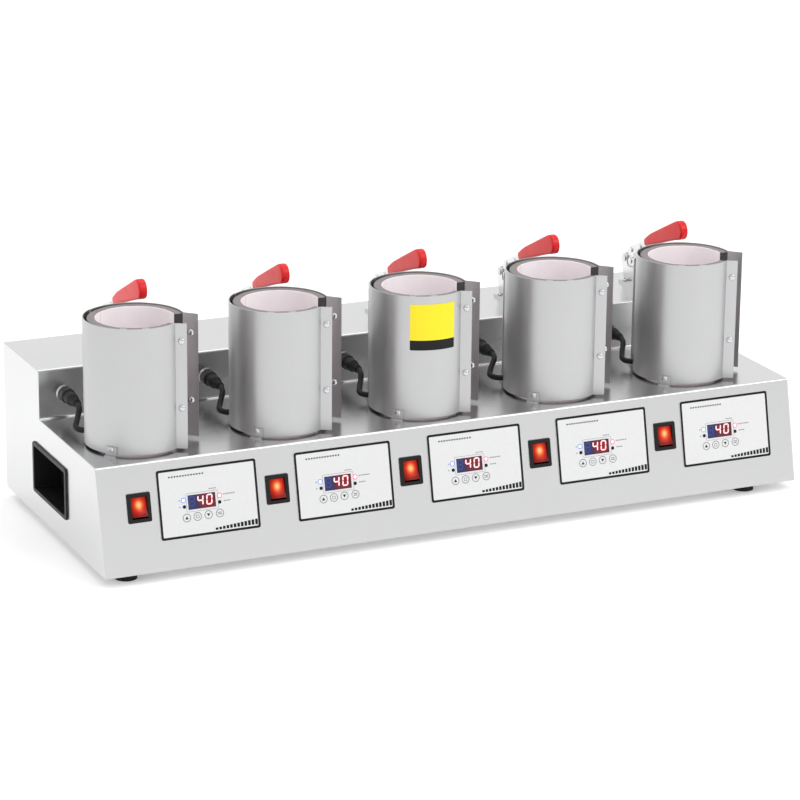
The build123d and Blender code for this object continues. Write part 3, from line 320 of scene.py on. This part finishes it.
# painted shade: a darker, plainer copy of the red dip for the grip's end faces, which stand in shade; the real grip is
# one red finish
grip_end_painted_shade = plain("dipped_red_end_painted_shade", (0.72, 0.003, 0.006), 0.05, 160, (0.26, 0.34), bumps=((320, 0.05, 0.0002), (1500, 0.05, 0.00005)), spec=0.4)
stick_yellow = plain("sticker_yellow", (0.93, 0.76, 0.004), 0.02, 200, (0.42, 0.52), bumps=((500, 0.05, 0.0001),))
stick_black = plain("sticker_black", (0.011, 0.011, 0.011), 0.1, 300, (0.42, 0.52), bumps=((500, 0.05, 0.0001),), spec=0.2)
plug_black = plain("plug_black", (0.010, 0.010, 0.011), 0.15, 500, (0.26, 0.4), bumps=((1200, 0.1, 0.00006),), spec=0.35)

slot_of = {}
for row in frame["record"]["materials"]:
    slot_of[row["slot"]] = row
for o in nodes.values():
    for k, sl in enumerate(o.material_slots):
        name = sl.material.name.split(".")[0] if sl.material else None
        if name in M:
            sl.material = M[name]
    if not o.material_slots:
        o.data.materials.append(M["powder_coat"])


# ------------------------------------------------------------ mesh helpers
def finish_mesh(name, bm, mats, body, smooth=35.0, bevel=None, subsurf=0):
    bmesh.ops.recalc_face_normals(bm, faces=bm.faces[:])
    me = bpy.data.meshes.new(name)
    bm.to_mesh(me)
    bm.free()
    o = bpy.data.objects.new(name, me)
    scene.collection.objects.link(o)
    for m in mats:
        me.materials.append(m)
    me.polygons.foreach_set("use_smooth", [True] * len(me.polygons))
    me.set_sharp_from_angle(angle=radians(smooth))
    if bevel:
        b = o.modifiers.new("rounding", "BEVEL")
        b.width, b.segments, b.limit_method, b.angle_limit = bevel[0], bevel[1], "ANGLE", radians(bevel[2])
        b.use_clamp_overlap = True
        b.harden_normals = True
    if subsurf:
        s = o.modifiers.new("smoothing", "SUBSURF")
        s.levels = s.render_levels = subsurf
    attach(o, body)
    return o


def prism(bm, pts, place, n0, n1, mat=0):
    """A flat shape given by (x, s) points, between heights n0 and n1."""
    lo = [bm.verts.new(place(x, s, n0)) for x, s in pts]
    hi = [bm.verts.new(place(x, s, n1)) for x, s in pts]
    faces = [bm.faces.new(hi), bm.faces.new(lo[::-1])]
    k = len(pts)
    for i in range(k):
        j = (i + 1) % k
        faces.append(bm.faces.new((lo[i], lo[j], hi[j], hi[i])))
    for f in faces:
        f.material_index = mat
    return faces


def ring(bm, outer, inner, place, n0, n1, mat=0):
    """A flat ring between two outlines with the same number of points."""
    k = len(outer)
    vo0 = [bm.verts.new(place(x, s, n0)) for x, s in outer]
    vo1 = [bm.verts.new(place(x, s, n1)) for x, s in outer]
    vi0 = [bm.verts.new(place(x, s, n0)) for x, s in inner]
    vi1 = [bm.verts.new(place(x, s, n1)) for x, s in inner]
    for i in range(k):
        j = (i + 1) % k
        for quad in ((vo1[i], vo1[j], vi1[j], vi1[i]), (vo0[j], vo0[i], vi0[i], vi0[j]),
                     (vo0[i], vo0[j], vo1[j], vo1[i]), (vi0[j], vi0[i], vi1[i], vi1[j])):
            bm.faces.new(quad).material_index = mat


def circle(cx, cy, r, k=28):
    return [(cx + r * cos(2 * pi * i / k), cy + r * sin(2 * pi * i / k)) for i in range(k)]


def round_rect(cx, cy, w, h, r, k=6):
    pts = []
    for qx, qy, a0 in ((1, 1, 0), (-1, 1, 90), (-1, -1, 180), (1, -1, 270)):
        for i in range(k + 1):
            a = radians(a0 + 90 * i / k)
            pts.append((cx + qx * (w / 2 - r) + r * cos(a), cy + qy * (h / 2 - r) + r * sin(a)))
    return pts


def lathe(bm, profile, origin, axis, seg=48, mat=0, shape=None, caps=True):
    """Turns (distance along axis, radius) points about an axis; shape(angle, k) scales a radius."""
    axis = Vector(axis).normalized()
    side = axis.orthogonal().normalized()
    up = axis.cross(side)
    rows = []
    for k, (d, r) in enumerate(profile):
        row = []
        for i in range(seg):
            a = 2 * pi * i / seg
            rr = r * (shape(a, k) if shape else 1.0)
            row.append(bm.verts.new(Vector(origin) + axis * d + (side * cos(a) + up * sin(a)) * rr))
        rows.append(row)
    for a_row, b_row in zip(rows, rows[1:]):
        for i in range(seg):
            j = (i + 1) % seg
            bm.faces.new((a_row[i], a_row[j], b_row[j], b_row[i])).material_index = mat
    if caps:
        bm.faces.new(rows[0][::-1]).material_index = mat
        bm.faces.new(rows[-1]).material_index = mat
    return rows


# ---------------------------------------------------------- panel graphics
SEG = {"0": "abcdef", "1": "bc", "2": "abged", "3": "abgcd", "4": "fgbc", "5": "afgcd", "6": "afgedc",
       "7": "abc", "8": "abcdefg", "9": "abcdfg"}


def seg_shapes(cx, cy, w, h, t):
    """Seven bars of a digit as hexagons, keyed a to g."""
    def bar_h(x0, x1, y):
        return [(x0, y), (x0 + t / 2, y + t / 2), (x1 - t / 2, y + t / 2), (x1, y), (x1 - t / 2, y - t / 2),
                (x0 + t / 2, y - t / 2)]

    def bar_v(x, y0, y1):
        return [(x, y0), (x + t / 2, y0 + t / 2), (x + t / 2, y1 - t / 2), (x, y1), (x - t / 2, y1 - t / 2),
                (x - t / 2, y0 + t / 2)]
    g = 0.12
    x0, x1 = cx - w / 2 + t / 2, cx + w / 2 - t / 2
    y0, ym, y1 = cy - h / 2 + t / 2, cy, cy + h / 2 - t / 2
    raw = {"a": bar_h(x0 + g, x1 - g, y1), "g": bar_h(x0 + g, x1 - g, ym), "d": bar_h(x0 + g, x1 - g, y0),
           "f": bar_v(x0, ym + g, y1 - g), "b": bar_v(x1, ym + g, y1 - g),
           "e": bar_v(x0, y0 + g, ym - g), "c": bar_v(x1, y0 + g, ym - g)}
    return {k: [(x + 0.07 * (y - cy), y) for x, y in v] for k, v in raw.items()}


for i, ox in enumerate(ov_x, 1):
    def place(x, s, n, ox=ox):
        return slope(ox + x, s_ctl + s, n)

    bm = bmesh.new()
    n0, n1 = 0.79, 0.87
    # dark printed border
    ring(bm, round_rect(0, 0, 111.1, 73.4, 2.5), round_rect(0, 0, 106.0, 68.3, 1.2), place, n0, n1, 0)
    # thin line round the display, and the dark rim of the window
    ring(bm, round_rect(-7.35, -0.6, 35.4, 19.6, 1.4), round_rect(-7.35, -0.6, 34.9, 19.1, 1.2), place, n0, n1, 2)
    # key rings
    keys = [(-25.7, -16.2), (-13.7, -16.1), (-1.5, -15.8), (11.2, -15.7)]
    for kx, ks in keys:
        ring(bm, circle(kx, ks, 4.45), circle(kx, ks, 3.9), place, n0, n1, 1)
    # key marks: up, a square, down, a bar
    prism(bm, [(-25.7 - 1.9, -17.7), (-25.7 + 1.9, -17.7), (-25.7, -14.4)], place, n0, n1, 0)
    prism(bm, [(-1.5 - 1.9, -14.4), (-1.5, -17.7), (-1.5 + 1.9, -14.4)], place, n0, n1, 0)
    ring(bm, round_rect(-13.7, -16.1, 3.4, 3.4, 0.4, 2), round_rect(-13.7, -16.1, 2.6, 2.6, 0.2, 2), place, n0, n1, 1)
    for dy in (-0.9, 0.9):
        prism(bm, round_rect(11.2, -15.7 + dy, 4.6, 0.7, 0.3, 2), place, n0, n1, 1)
    # black dots and lamp marks
    for dx, ds in ((-27.4, -4.4), (11.9, -4.1)):
        prism(bm, circle(dx, ds, 1.9), place, n0, n1 + 0.06, 0)
    # short dashes where the captions stand
    def dashes(x0, x1, s, h, k, mat, gap=0.38):
        w = (x1 - x0) / k
        for q in range(k):
            prism(bm, round_rect(x0 + (q + 0.5) * w, s, w * (1 - gap), h, min(h, w * (1 - gap)) * 0.3, 2), place, n0, n1, mat)

    dashes(-43.0, -3.0, 28.3, 1.7, 13, 1)
    dashes(0.6, 9.2, 11.3, 1.0, 4, 2)
    dashes(16.2, 29.6, 3.8, 1.15, 6, 2)
    dashes(16.4, 24.2, -3.3, 1.15, 4, 2)
    dashes(-33.4, -31.6, 2.6, 0.8, 1, 2, 0.1)
    dashes(-33.4, -31.6, -4.4, 0.8, 1, 2, 0.1)
    # a row of plain rising bars, a heat scale
    for q in range(12):
        w, h = 2.9, 2.4 + 0.32 * q
        x = 5.0 + q * 4.05
        prism(bm, round_rect(x + w / 2, -33.4 + h / 2 + 0.6, w, h, 0.4, 3), place, n0, n1, 0)
    finish_mesh(f"panel_print_{i}", bm, [ink_black, ink_grey, ink_light], "root", 30)

    # status lamps
    bm = bmesh.new()
    for (lx, ls), k in (((-27.9, 2.5), 0), ((12.3, 2.8), 3)):
        # outer ring: the fade of the lamp's glow, painted as colour on the panel
        ring(bm, circle(lx, ls, 3.1), circle(lx, ls, 2.45), place, n0, n1 - 0.02, k + 2)
        ring(bm, circle(lx, ls, 2.45), circle(lx, ls, 1.7), place, n0, n1, k + 1)
        o3 = place(lx, ls, n0)
        lathe(bm, [(0, 1.7 * MM), (0.12 * MM, 1.68 * MM), (0.42 * MM, 1.35 * MM), (0.62 * MM, 0.8 * MM), (0.68 * MM, 0.25 * MM)],
              o3, (0, n_y, n_z), 28, k)
    finish_mesh(f"status_lamps_{i}", bm, [led_blue, led_blue_halo, led_blue_painted_glow, led_red, led_red_halo, led_red_painted_glow],
                "root", 40)

    # display face, digits
    bm = bmesh.new()
    prism(bm, round_rect(-7.65, -0.55, 30.3, 14.8, 0.5), place, 0.50, 0.66, 0)
    face = finish_mesh(f"display_face_{i}", bm, [window_mat], "root", 30)
    bm = bmesh.new()
    cy = 0.35
    for cx, ch in ((-18.6, " "), (-9.1, "4"), (0.9, "0")):
        on = SEG.get(ch, "")
        big = seg_shapes(cx, cy, 7.0, 11.4, 1.75)
        core = seg_shapes(cx, cy, 6.7, 11.1, 1.25)
        for key in "abcdefg":
            if key in on:
                prism(bm, big[key], place, 0.645, 0.70, 1)
                prism(bm, core[key], place, 0.66, 0.74, 0)
            else:
                prism(bm, core[key], place, 0.645, 0.685, 2) if ch == " " else None
    finish_mesh(f"display_digits_{i}", bm, [seg_lit, seg_halo, seg_off], "root", 30)


# ------------------------------------------------------------------ rockers
tilt = radians(-10.0)
t_y = s_y * cos(tilt) - s_z * sin(tilt)
t_z = s_y * sin(tilt) + s_z * cos(tilt)
for i, x in enumerate(sw_x, 1):
    o3 = slope(x, s_sw, -2.5)

    def rplace(px, ps, pn, o3=o3):
        return o3 + Vector((px, ps * t_y + pn * (-t_z), ps * t_z + pn * t_y)) * MM

    prof = []
    for k in range(25):
        s = -10.35 + 20.7 * k / 24
        n = 2.9 + 1.4 * (s / 10.4) ** 2
        prof.append((s, n))
    low = [(10.0, 0.5), (7.2, -7.0), (-7.2, -7.0), (-10.0, 0.5)]
    loop = prof + low
    bm = bmesh.new()
    cols = []
    for px, drop in ((-8.5, 0.55), (-8.3, 0.18), (-7.9, 0.0), (0.0, -0.0), (7.9, 0.0), (8.3, 0.18), (8.5, 0.55)):
        cols.append([bm.verts.new(rplace(px, s * (1 - drop * 0.02), n - (drop if k < 25 else 0))) for k, (s, n) in enumerate(loop)])
    k = len(loop)
    for a, b in zip(cols, cols[1:]):
        for q in range(k):
            r = (q + 1) % k
            bm.faces.new((a[q], a[r], b[r], b[q]))
    bm.faces.new(cols[0])
    bm.faces.new(cols[-1][::-1])
    # finger ridges near the lower edge
    for s in (-9.2, -8.2, -7.2):
        n = 2.9 + 1.4 * (s / 10.4) ** 2
        prism(bm, [(-6.6, s - 0.28), (6.6, s - 0.28), (6.4, s + 0.28), (-6.4, s + 0.28)], rplace, n - 0.3, n + 0.22)
    rk = finish_mesh(f"rocker_lens_{i}", bm, [M["red_rocker"]], f"switch_{i}", 32)
    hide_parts(f"rocker_{i}")


# ------------------------------------------------------------- lever grips
outline = [(78.0, 240.2), (69.0, 246.6), (62.2, 250.8), (36.0, 263.6), (9.2, 276.6), (3.6, 278.9), (-0.5, 279.4),
           (-4.6, 278.2), (-7.5, 275.5), (-9.6, 271.4), (-10.3, 267.5), (-9.3, 262.6), (-6.5, 259.5), (-1.5, 257.6),
           (12.2, 253.8), (48.0, 241.6), (62.0, 237.0), (75.2, 232.6)]
cx_g = sum(p[0] for p in outline) / len(outline)
cz_g = sum(p[1] for p in outline) / len(outline)
for i, sx in enumerate(st_x, 1):
    xc = sx + 33.0
    bm = bmesh.new()
    # cross rounding: the outline shrinks towards each side face
    k = len(outline)
    # inward normals of the outline
    area = sum(outline[q][0] * outline[(q + 1) % k][1] - outline[(q + 1) % k][0] * outline[q][1] for q in range(k))
    sgn = 1 if area > 0 else -1
    inn = []
    for q in range(k):
        ax, ay = outline[q - 1]
        bx, by = outline[(q + 1) % k]
        tx, ty = bx - ax, by - ay
        L = hypot(tx, ty)
        inn.append((-ty / L * sgn, tx / L * sgn))
    R = 2.2
    layers = []
    for step in range(0, 7):
        a = radians(90 * step / 6)
        layers.append((4.8 - R + R * sin(a), R - R * cos(a)))
    spans = [(-h, d) for h, d in reversed(layers)] + layers
    cols = []
    for h, d in spans:
        cols.append([bm.verts.new(Vector((xc + h, p[0] + nn[0] * d, p[1] + nn[1] * d)) * MM)
                     for p, nn in zip(outline, inn)])
    for a, b in zip(cols, cols[1:]):
        for q in range(k):
            r = (q + 1) % k
            # faces 6 to 11 of the outline, round the grip's end, take the darker red copy: painted shade
            bm.faces.new((a[q], a[r], b[r], b[q])).material_index = 1 if 6 <= q <= 11 else 0
    for col, flip in ((cols[0], False), (cols[-1], True)):
        bm.faces.new(col[::-1] if flip else col)
    g = finish_mesh(f"grip_sleeve_{i}", bm, [M["red_grip"], grip_end_painted_shade], f"lever_{i}", 50)
    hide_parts(f"lever_grip_{i}")


# ------------------------------------------------------------ heating pads
def pad_piece(name, sx, a0, a1, body, node):
    """A curved pad: pale cloth inside, a thin orange edge line, grey top, and a near-black back, bottom, outer top edge
    and ends, which are painted shade of the narrow gaps round the pad.
    """
    ri, ro, z0, z1 = 41.6, 50.6, 127.5, 259.6
    cx, cy = sx + 1.6, y_st
    # section from the inner bottom up, over the top and down the back: (r, z, material of the face that follows)
    sec = [(ri + 0.5, z0, 0), (ri + 0.1, z0 + 0.5, 0), (ri, z0 + 1.2, 0)]
    sec += [(ri, z0 + (z1 - z0) * t, 0) for t in (0.15, 0.3, 0.45, 0.6, 0.75, 0.9)]
    # from the outer top corner round the back and bottom the faces take the near-black finish: painted shade of the gap
    # next to the band
    sec += [(ri, z1 - 1.3, 0), (ri + 0.12, z1 - 0.55, 0), (ri + 0.42, z1 - 0.16, 3), (ri + 0.75, z1 - 0.04, 1),
            (ri + 2.4, z1 - 0.35, 1), (ri + 4.6, z1 - 0.30, 1), (ro - 1.6, z1 - 0.05, 1), (ro - 0.7, z1 - 0.18, 1),
            (ro - 0.18, z1 - 0.8, 2), (ro, z1 - 1.8, 2), (ro, z0 + 1.8, 2), (ro - 0.3, z0 + 0.5, 2), (ro - 1.2, z0, 2)]
    steps = max(24, int(abs(a1 - a0) / 2.4))
    bm = bmesh.new()
    rows = []
    for q in range(steps + 1):
        t = q / steps
        a = radians(a0 + (a1 - a0) * t)
        row = []
        wave = 0.16 * sin(7 * a + sx * 0.03) + 0.09 * sin(17 * a + 1.3)
        for r, z, _ in sec:
            dz = wave * max(0.0, (z - (z1 - 3.0)) / 3.0) if z > z1 - 3.0 else 0.0
            row.append(bm.verts.new(Vector((cx + r * cos(a), cy + r * sin(a), z + min(dz, 0.0) - 0.0)) * MM))
        rows.append(row)
    n = len(sec)
    for a_row, b_row in zip(rows, rows[1:]):
        for q in range(n):
            r = (q + 1) % n
            f = bm.faces.new((a_row[q], a_row[r], b_row[r], b_row[q]))
            f.material_index = sec[q][2]
    # flat end faces
    for row, aa, sgn in ((rows[0], a0, -1), (rows[-1], a1, 1)):
        a = radians(aa)
        mid = [sum(v.co[k] for v in row) / n for k in range(3)]
        f = bm.faces.new(row if sgn > 0 else row[::-1])
        # the ends take the near-black finish too: painted shade of the slot between the halves
        f.material_index = 2
    p = finish_mesh(name, bm, [pad_in, pad_body, pad_gap_shade, pad_line], body, 38)
    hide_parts(node)
    return p


for i, sx in enumerate(st_x, 1):
    pad_piece(f"heater_pad_front_{i}", sx, 130.12, 306.4, "root", "front_pads")
    pad_piece(f"heater_pad_rear_{i}", sx, -7.4, 129.88, f"jaw_{i}", f"rear_pad_{i}")


# ------------------------------------------------------------ plugs, leads
for i, sx in enumerate(st_x, 1):
    px, pz = sx - 38.5, 148.5
    bm = bmesh.new()
    # knurled locking ring
    kn = [(0.3, 7.6), (0.9, 8.15), (2.0, 8.15), (2.3, 8.35), (8.0, 8.35), (8.3, 8.05), (9.4, 8.0), (9.9, 7.3)]
    lathe(bm, [(d * MM, r * MM) for d, r in kn], Vector((px, 40.7, pz)) * MM, (0, -1, 0), 96, 0,
          shape=lambda a, k: (1.0 - 0.022 * (0.5 + 0.5 * cos(32 * a))) if k in (3, 4) else 1.0)
    body_p = [(9.8, 6.7), (10.3, 7.0), (12.6, 7.0), (12.9, 6.7), (13.5, 6.7), (13.8, 7.0), (21.6, 7.0), (22.6, 6.6), (23.0, 6.0)]
    lathe(bm, [(d * MM, r * MM) for d, r in body_p], Vector((px, 40.7, pz)) * MM, (0, -1, 0), 48, 1)
    boot = [(22.8, 5.9)]
    for q in range(7):
        d0 = 23.4 + q * 1.95
        r0 = 5.95 - q * 0.28
        boot += [(d0, r0), (d0 + 0.95, r0 - 0.05), (d0 + 1.15, r0 - 0.75), (d0 + 1.65, r0 - 0.78)]
    boot += [(37.4, 4.1), (37.9, 3.5)]
    lathe(bm, [(d * MM, r * MM) for d, r in boot], Vector((px, 40.7, pz)) * MM, (0, -1, 0), 40, 1)
    pl = finish_mesh(f"lead_plug_{i}", bm, [plug_black, plug_black], "root", 28)
    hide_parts("cable_plugs")

lead_shape = [
    ((-38.5, -5.5, 148.5), (-45.5, -15.0, 138.0), 66.0, 131.0),
    ((-38.5, -6.0, 148.5), (-46.5, -15.5, 137.5), 66.5, 131.0),
    ((-38.5, -5.0, 148.5), (-44.5, -14.5, 137.5), 65.5, 130.5),
    ((-38.5, -8.0, 148.5), (-48.5, -15.0, 138.5), 70.0, 130.5),
    ((-38.5, -5.5, 148.5), (-46.0, -15.0, 138.0), 66.0, 131.0),
]
ae = radians(146.0)
for i, (sx, (p1, p2, r_out, z_out)) in enumerate(zip(st_x, lead_shape), 1):
    pts = [(sx - 38.5, 7.7, 148.5), (sx + p1[0], p1[1], p1[2]), (sx + p2[0], p2[1], p2[2]),
           (sx + r_out * cos(ae), y_st + r_out * sin(ae), z_out),
           (sx + 49.75 * cos(ae), y_st + 49.75 * sin(ae), 132.5)]
    cu = bpy.data.curves.new(f"heater_lead_{i}", "CURVE")
    cu.dimensions = "3D"
    cu.resolution_u = 24
    sp = cu.splines.new("NURBS")
    sp.points.add(len(pts) - 1)
    for q, p in enumerate(pts):
        sp.points[q].co = (*(Vector(p) * MM), 1.0)
    sp.order_u = 3
    sp.use_endpoint_u = True
    cu.bevel_depth = 3.1 * MM
    cu.bevel_resolution = 8
    cu.use_fill_caps = True
    o = bpy.data.objects.new(f"heater_lead_{i}", cu)
    scene.collection.objects.link(o)
    cu.materials.append(M["cable_jacket"])
    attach(o, "root")
    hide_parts("heater_cables")

# --------------------------------------------------------- rivets, screws
fd, a_f = radians(-26.6), radians(-56.5)
rm = 53.5 - 0.6
fm = (rm * cos(a_f) + 6.6 * cos(fd), rm * sin(a_f) + 6.6 * sin(fd))
rd, a_r = radians(-45.0), radians(-6.4)
jm = (rm * cos(a_r) + 9.0 * cos(rd), rm * sin(a_r) + 9.0 * sin(rd))


def dome(bm, origin, axis, r, h, k=7, seg=28, mat=0, sink=0.15):
    prof = [(-sink, r), (0.0, r)]
    for q in range(1, k + 1):
        a = radians(90 * q / k)
        prof.append((h * sin(a), max(r * cos(a), 0.12)))
    lathe(bm, [(d * MM, rr * MM) for d, rr in prof], Vector(origin) * MM, axis, seg, mat)


for i, sx in enumerate(st_x, 1):
    bm = bmesh.new()
    for zr in (242.2, 169.6):
        axis = Vector((sin(fd), -cos(fd), 0))
        base = Vector((sx + fm[0], y_st + fm[1], zr)) + axis * 0.6
        dome(bm, base, axis, 3.7, 2.1)
        dome(bm, Vector((sx + fm[0], y_st + fm[1], zr)) - axis * 0.6, -axis, 2.8, 1.0)
    rv = finish_mesh(f"front_rivet_heads_{i}", bm, [M["zinc_screw"]], "root", 50)
    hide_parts("band_rivets")
    bm = bmesh.new()
    for zr in (239.6, 165.8):
        axis = Vector((sin(rd), -cos(rd), 0))
        base = Vector((sx + jm[0], y_st + jm[1], zr)) + axis * 0.6
        dome(bm, base, axis, 3.7, 2.2)
    finish_mesh(f"jaw_rivet_heads_{i}", bm, [M["zinc_screw"]], f"jaw_{i}", 50)


def screw_head_mesh():
    """One pan head with a cross recess, along +Z, millimetres scaled to metres."""
    bm = bmesh.new()
    prof = [(-6.0, 1.9), (-0.02, 1.95), (0.0, 3.15), (0.35, 3.25), (1.1, 3.1), (1.7, 2.6), (2.05, 1.8), (2.2, 0.8), (2.22, 0.15)]
    lathe(bm, [(d * MM, r * MM) for d, r in prof], (0, 0, 0), (0, 0, 1), 32)
    bmesh.ops.recalc_face_normals(bm, faces=bm.faces[:])
    me = bpy.data.meshes.new("screw_head_tmp")
    bm.to_mesh(me)
    bm.free()
    ob = bpy.data.objects.new("screw_head_tmp", me)
    scene.collection.objects.link(ob)
    bm = bmesh.new()

    def flat(x, y, z):
        return Vector((x, y, z)) * MM
    w, l = 0.42, 1.85
    prism(bm, [(-l, -w), (-w, -w), (-w, -l), (w, -l), (w, -w), (l, -w), (l, w), (w, w), (w, l), (-w, l), (-w, w), (-l, w)],
          flat, 1.0, 3.2)
    bmesh.ops.recalc_face_normals(bm, faces=bm.faces[:])
    mc = bpy.data.meshes.new("screw_cut_tmp")
    bm.to_mesh(mc)
    bm.free()
    oc = bpy.data.objects.new("screw_cut_tmp", mc)
    scene.collection.objects.link(oc)
    b = ob.modifiers.new("cut", "BOOLEAN")
    b.operation, b.object, b.solver = "DIFFERENCE", oc, "EXACT"
    bpy.context.view_layer.update()
    done = bpy.data.meshes.new_from_object(ob.evaluated_get(bpy.context.evaluated_depsgraph_get()))
    bpy.data.objects.remove(ob)
    bpy.data.objects.remove(oc)
    return done


head = screw_head_mesh()


def screws(name, planes, body="root"):
    bm = bmesh.new()
    for q, (org, zdir, depth) in enumerate(planes):
        z = Vector(zdir).normalized()
        rot = Vector((0, 0, 1)).rotation_difference(z).to_matrix().to_4x4()
        turn = Matrix.Rotation(radians(17 + 53 * q), 4, "Z")
        mat4 = Matrix.Translation(Vector(org) * MM) @ rot @ turn
        start = len(bm.verts)
        bm.from_mesh(head)
        bm.verts.ensure_lookup_table()
        for v in bm.verts[start:]:
            co = v.co.copy()
            if co.z < -0.1 * MM:
                co.z = -depth * MM
            v.co = mat4 @ co
    return finish_mesh(name, bm, [M["zinc_screw"]], body, 35)


hx, hy = 57 * cos(radians(130)), 57 * sin(radians(130))
ac = radians(-137.3)
for i, sx in enumerate(st_x, 1):
    pl = [((sx + 33 + dx, y, z_box + 3.0), (0, 0, 1), 6.0) for dx in (-7.6, 7.6) for y in (82.0, 115.5)]
    pl.append(((sx + hx + 14.0, y_st + hy + 4.0, 124.2), (0, 0, 1), 6.0))
    pl.append(((sx + 54.7 * cos(ac), y_st + 54.7 * sin(ac), 130.2), (cos(ac), sin(ac), 0), 2.6))
    sc = screws(f"station_screws_{i}", pl)
    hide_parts("pan_head_screws")
pl = [((sxn * 403.0, 158.3, z), (0, 1, 0), 5.0) for sxn in (-1, 1) for z in (30.0, 150.0)]
pl += [((fx, fy, 4.5), (0, 0, -1), 6.0) for fx, fy in ((-380, -138), (358, -138), (-380, 132), (358, 132))]
sc = screws("chassis_screws", pl)
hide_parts("pan_head_screws")

# ------------------------------------------------------- sticker on band 3
bm = bmesh.new()
sx = st_x[2]
a0, a1 = radians(-124.5), radians(-69.5)
zs = [201.5, 202.2, 212.4, 212.5, 230.0, 251.6, 252.3]
r_in, r_out = 53.52, 53.74
grid_o, grid_i = [], []
K = 30
for z in zs:
    ro_row, ri_row = [], []
    edge = z in (zs[0], zs[-1])
    for q in range(K + 1):
        a = a0 + (a1 - a0) * q / K
        if edge and q == 0:
            a += 0.9 / 53.5
        if edge and q == K:
            a -= 0.9 / 53.5
        ro_row.append(bm.verts.new(Vector((sx + r_out * cos(a), y_st + r_out * sin(a), z)) * MM))
        ri_row.append(bm.verts.new(Vector((sx + r_in * cos(a), y_st + r_in * sin(a), z)) * MM))
    grid_o.append(ro_row)
    grid_i.append(ri_row)
for rr in range(len(zs) - 1):
    mat = 1 if zs[rr] < 212.45 else 0
    for q in range(K):
        bm.faces.new((grid_o[rr][q], grid_o[rr][q + 1], grid_o[rr + 1][q + 1], grid_o[rr + 1][q])).material_index = mat
        bm.faces.new((grid_i[rr][q + 1], grid_i[rr][q], grid_i[rr + 1][q], grid_i[rr + 1][q + 1])).material_index = mat
    for q in (0, K):
        bm.faces.new((grid_o[rr][q], grid_i[rr][q], grid_i[rr + 1][q], grid_o[rr + 1][q])).material_index = mat
for rr in (0, len(zs) - 1):
    for q in range(K):
        bm.faces.new((grid_o[rr][q], grid_o[rr][q + 1], grid_i[rr][q + 1], grid_i[rr][q])).material_index = 1 if rr == 0 else 0
finish_mesh("plain_sticker", bm, [stick_yellow, stick_black], "root", 40)

# ------------------------------------------------------------------- stage
bm = bmesh.new()
bmesh.ops.create_grid(bm, x_segments=8, y_segments=8, size=14.0)
me = bpy.data.meshes.new("floor")
bm.to_mesh(me)
bm.free()
floor = bpy.data.objects.new("floor", me)
scene.collection.objects.link(floor)
floor.location = (0, 0, -0.0002)
me.materials.append(plain("floor_white", (0.93, 0.93, 0.93), 0.008, 3.0, (0.75, 0.85), bumps=((40, 0.02, 0.0002),), spec=0.15, emission=(1.0, 1.0, 1.0), strength=0.20))

world = bpy.data.worlds.new("studio")
scene.world = world
world.use_nodes = True
world.node_tree.nodes["Background"].inputs["Color"].default_value = (1, 1, 1, 1)
world.node_tree.nodes["Background"].inputs["Strength"].default_value = 1.0
wt = world.node_tree
wc = wt.nodes.new("ShaderNodeTexCoord")
ws = wt.nodes.new("ShaderNodeSeparateXYZ")
wt.links.new(wc.outputs["Generated"], ws.inputs["Vector"])
wt.links.new(ramp(wt, map_range(wt, ws.outputs["Y"], 0.0, 1.0, -1.0, 1.0),
                  [(0.0, (0.88, 0.88, 0.88)), (0.45, (0.88, 0.88, 0.88)), (1.0, (1.0, 1.0, 1.0))]),
             wt.nodes["Background"].inputs["Color"])


def area(name, loc, target, size, power, color=(1, 1, 1)):
    li = bpy.data.lights.new(name, "AREA")
    li.shape = "RECTANGLE"
    li.size, li.size_y = size
    li.energy = power
    li.color = color
    o = bpy.data.objects.new(name, li)
    scene.collection.objects.link(o)
    o.location = loc
    o.rotation_euler = (Vector(target) - Vector(loc)).to_track_quat("-Z", "Y").to_euler()
    return o


area("key_softbox", (1.6, -2.4, 2.6), (0.0, 0.0, 0.1), (2.2, 1.6), 26)
area("top_softbox", (0.0, 0.2, 2.9), (0.0, 0.0, 0.0), (3.0, 2.0), 20)

# ------------------------------------------------------------------ camera
yaw, pitch, roll = radians(24.6116), radians(17.3682), radians(0.5493)
fw = Vector((sin(yaw) * cos(pitch), cos(yaw) * cos(pitch), -sin(pitch)))
r = Vector((cos(yaw), -sin(yaw), 0))
u = r.cross(fw)
r2 = r * cos(roll) + u * sin(roll)
u2 = -r * sin(roll) + u * cos(roll)
cam_data = bpy.data.cameras.new("camera")
cam_data.sensor_width = 36.0
cam_data.lens = 150.147
cam_data.clip_end = 100.0
cam = bpy.data.objects.new("camera", cam_data)
scene.collection.objects.link(cam)
m4 = Matrix((r2, u2, -fw)).transposed().to_4x4()
m4.translation = Vector((-1.47908, -3.21778, 1.21529))
cam.matrix_world = m4
scene.camera = cam
scene.view_settings.view_transform = "Standard"
scene.view_settings.look = "None"

bpy.context.view_layer.update()
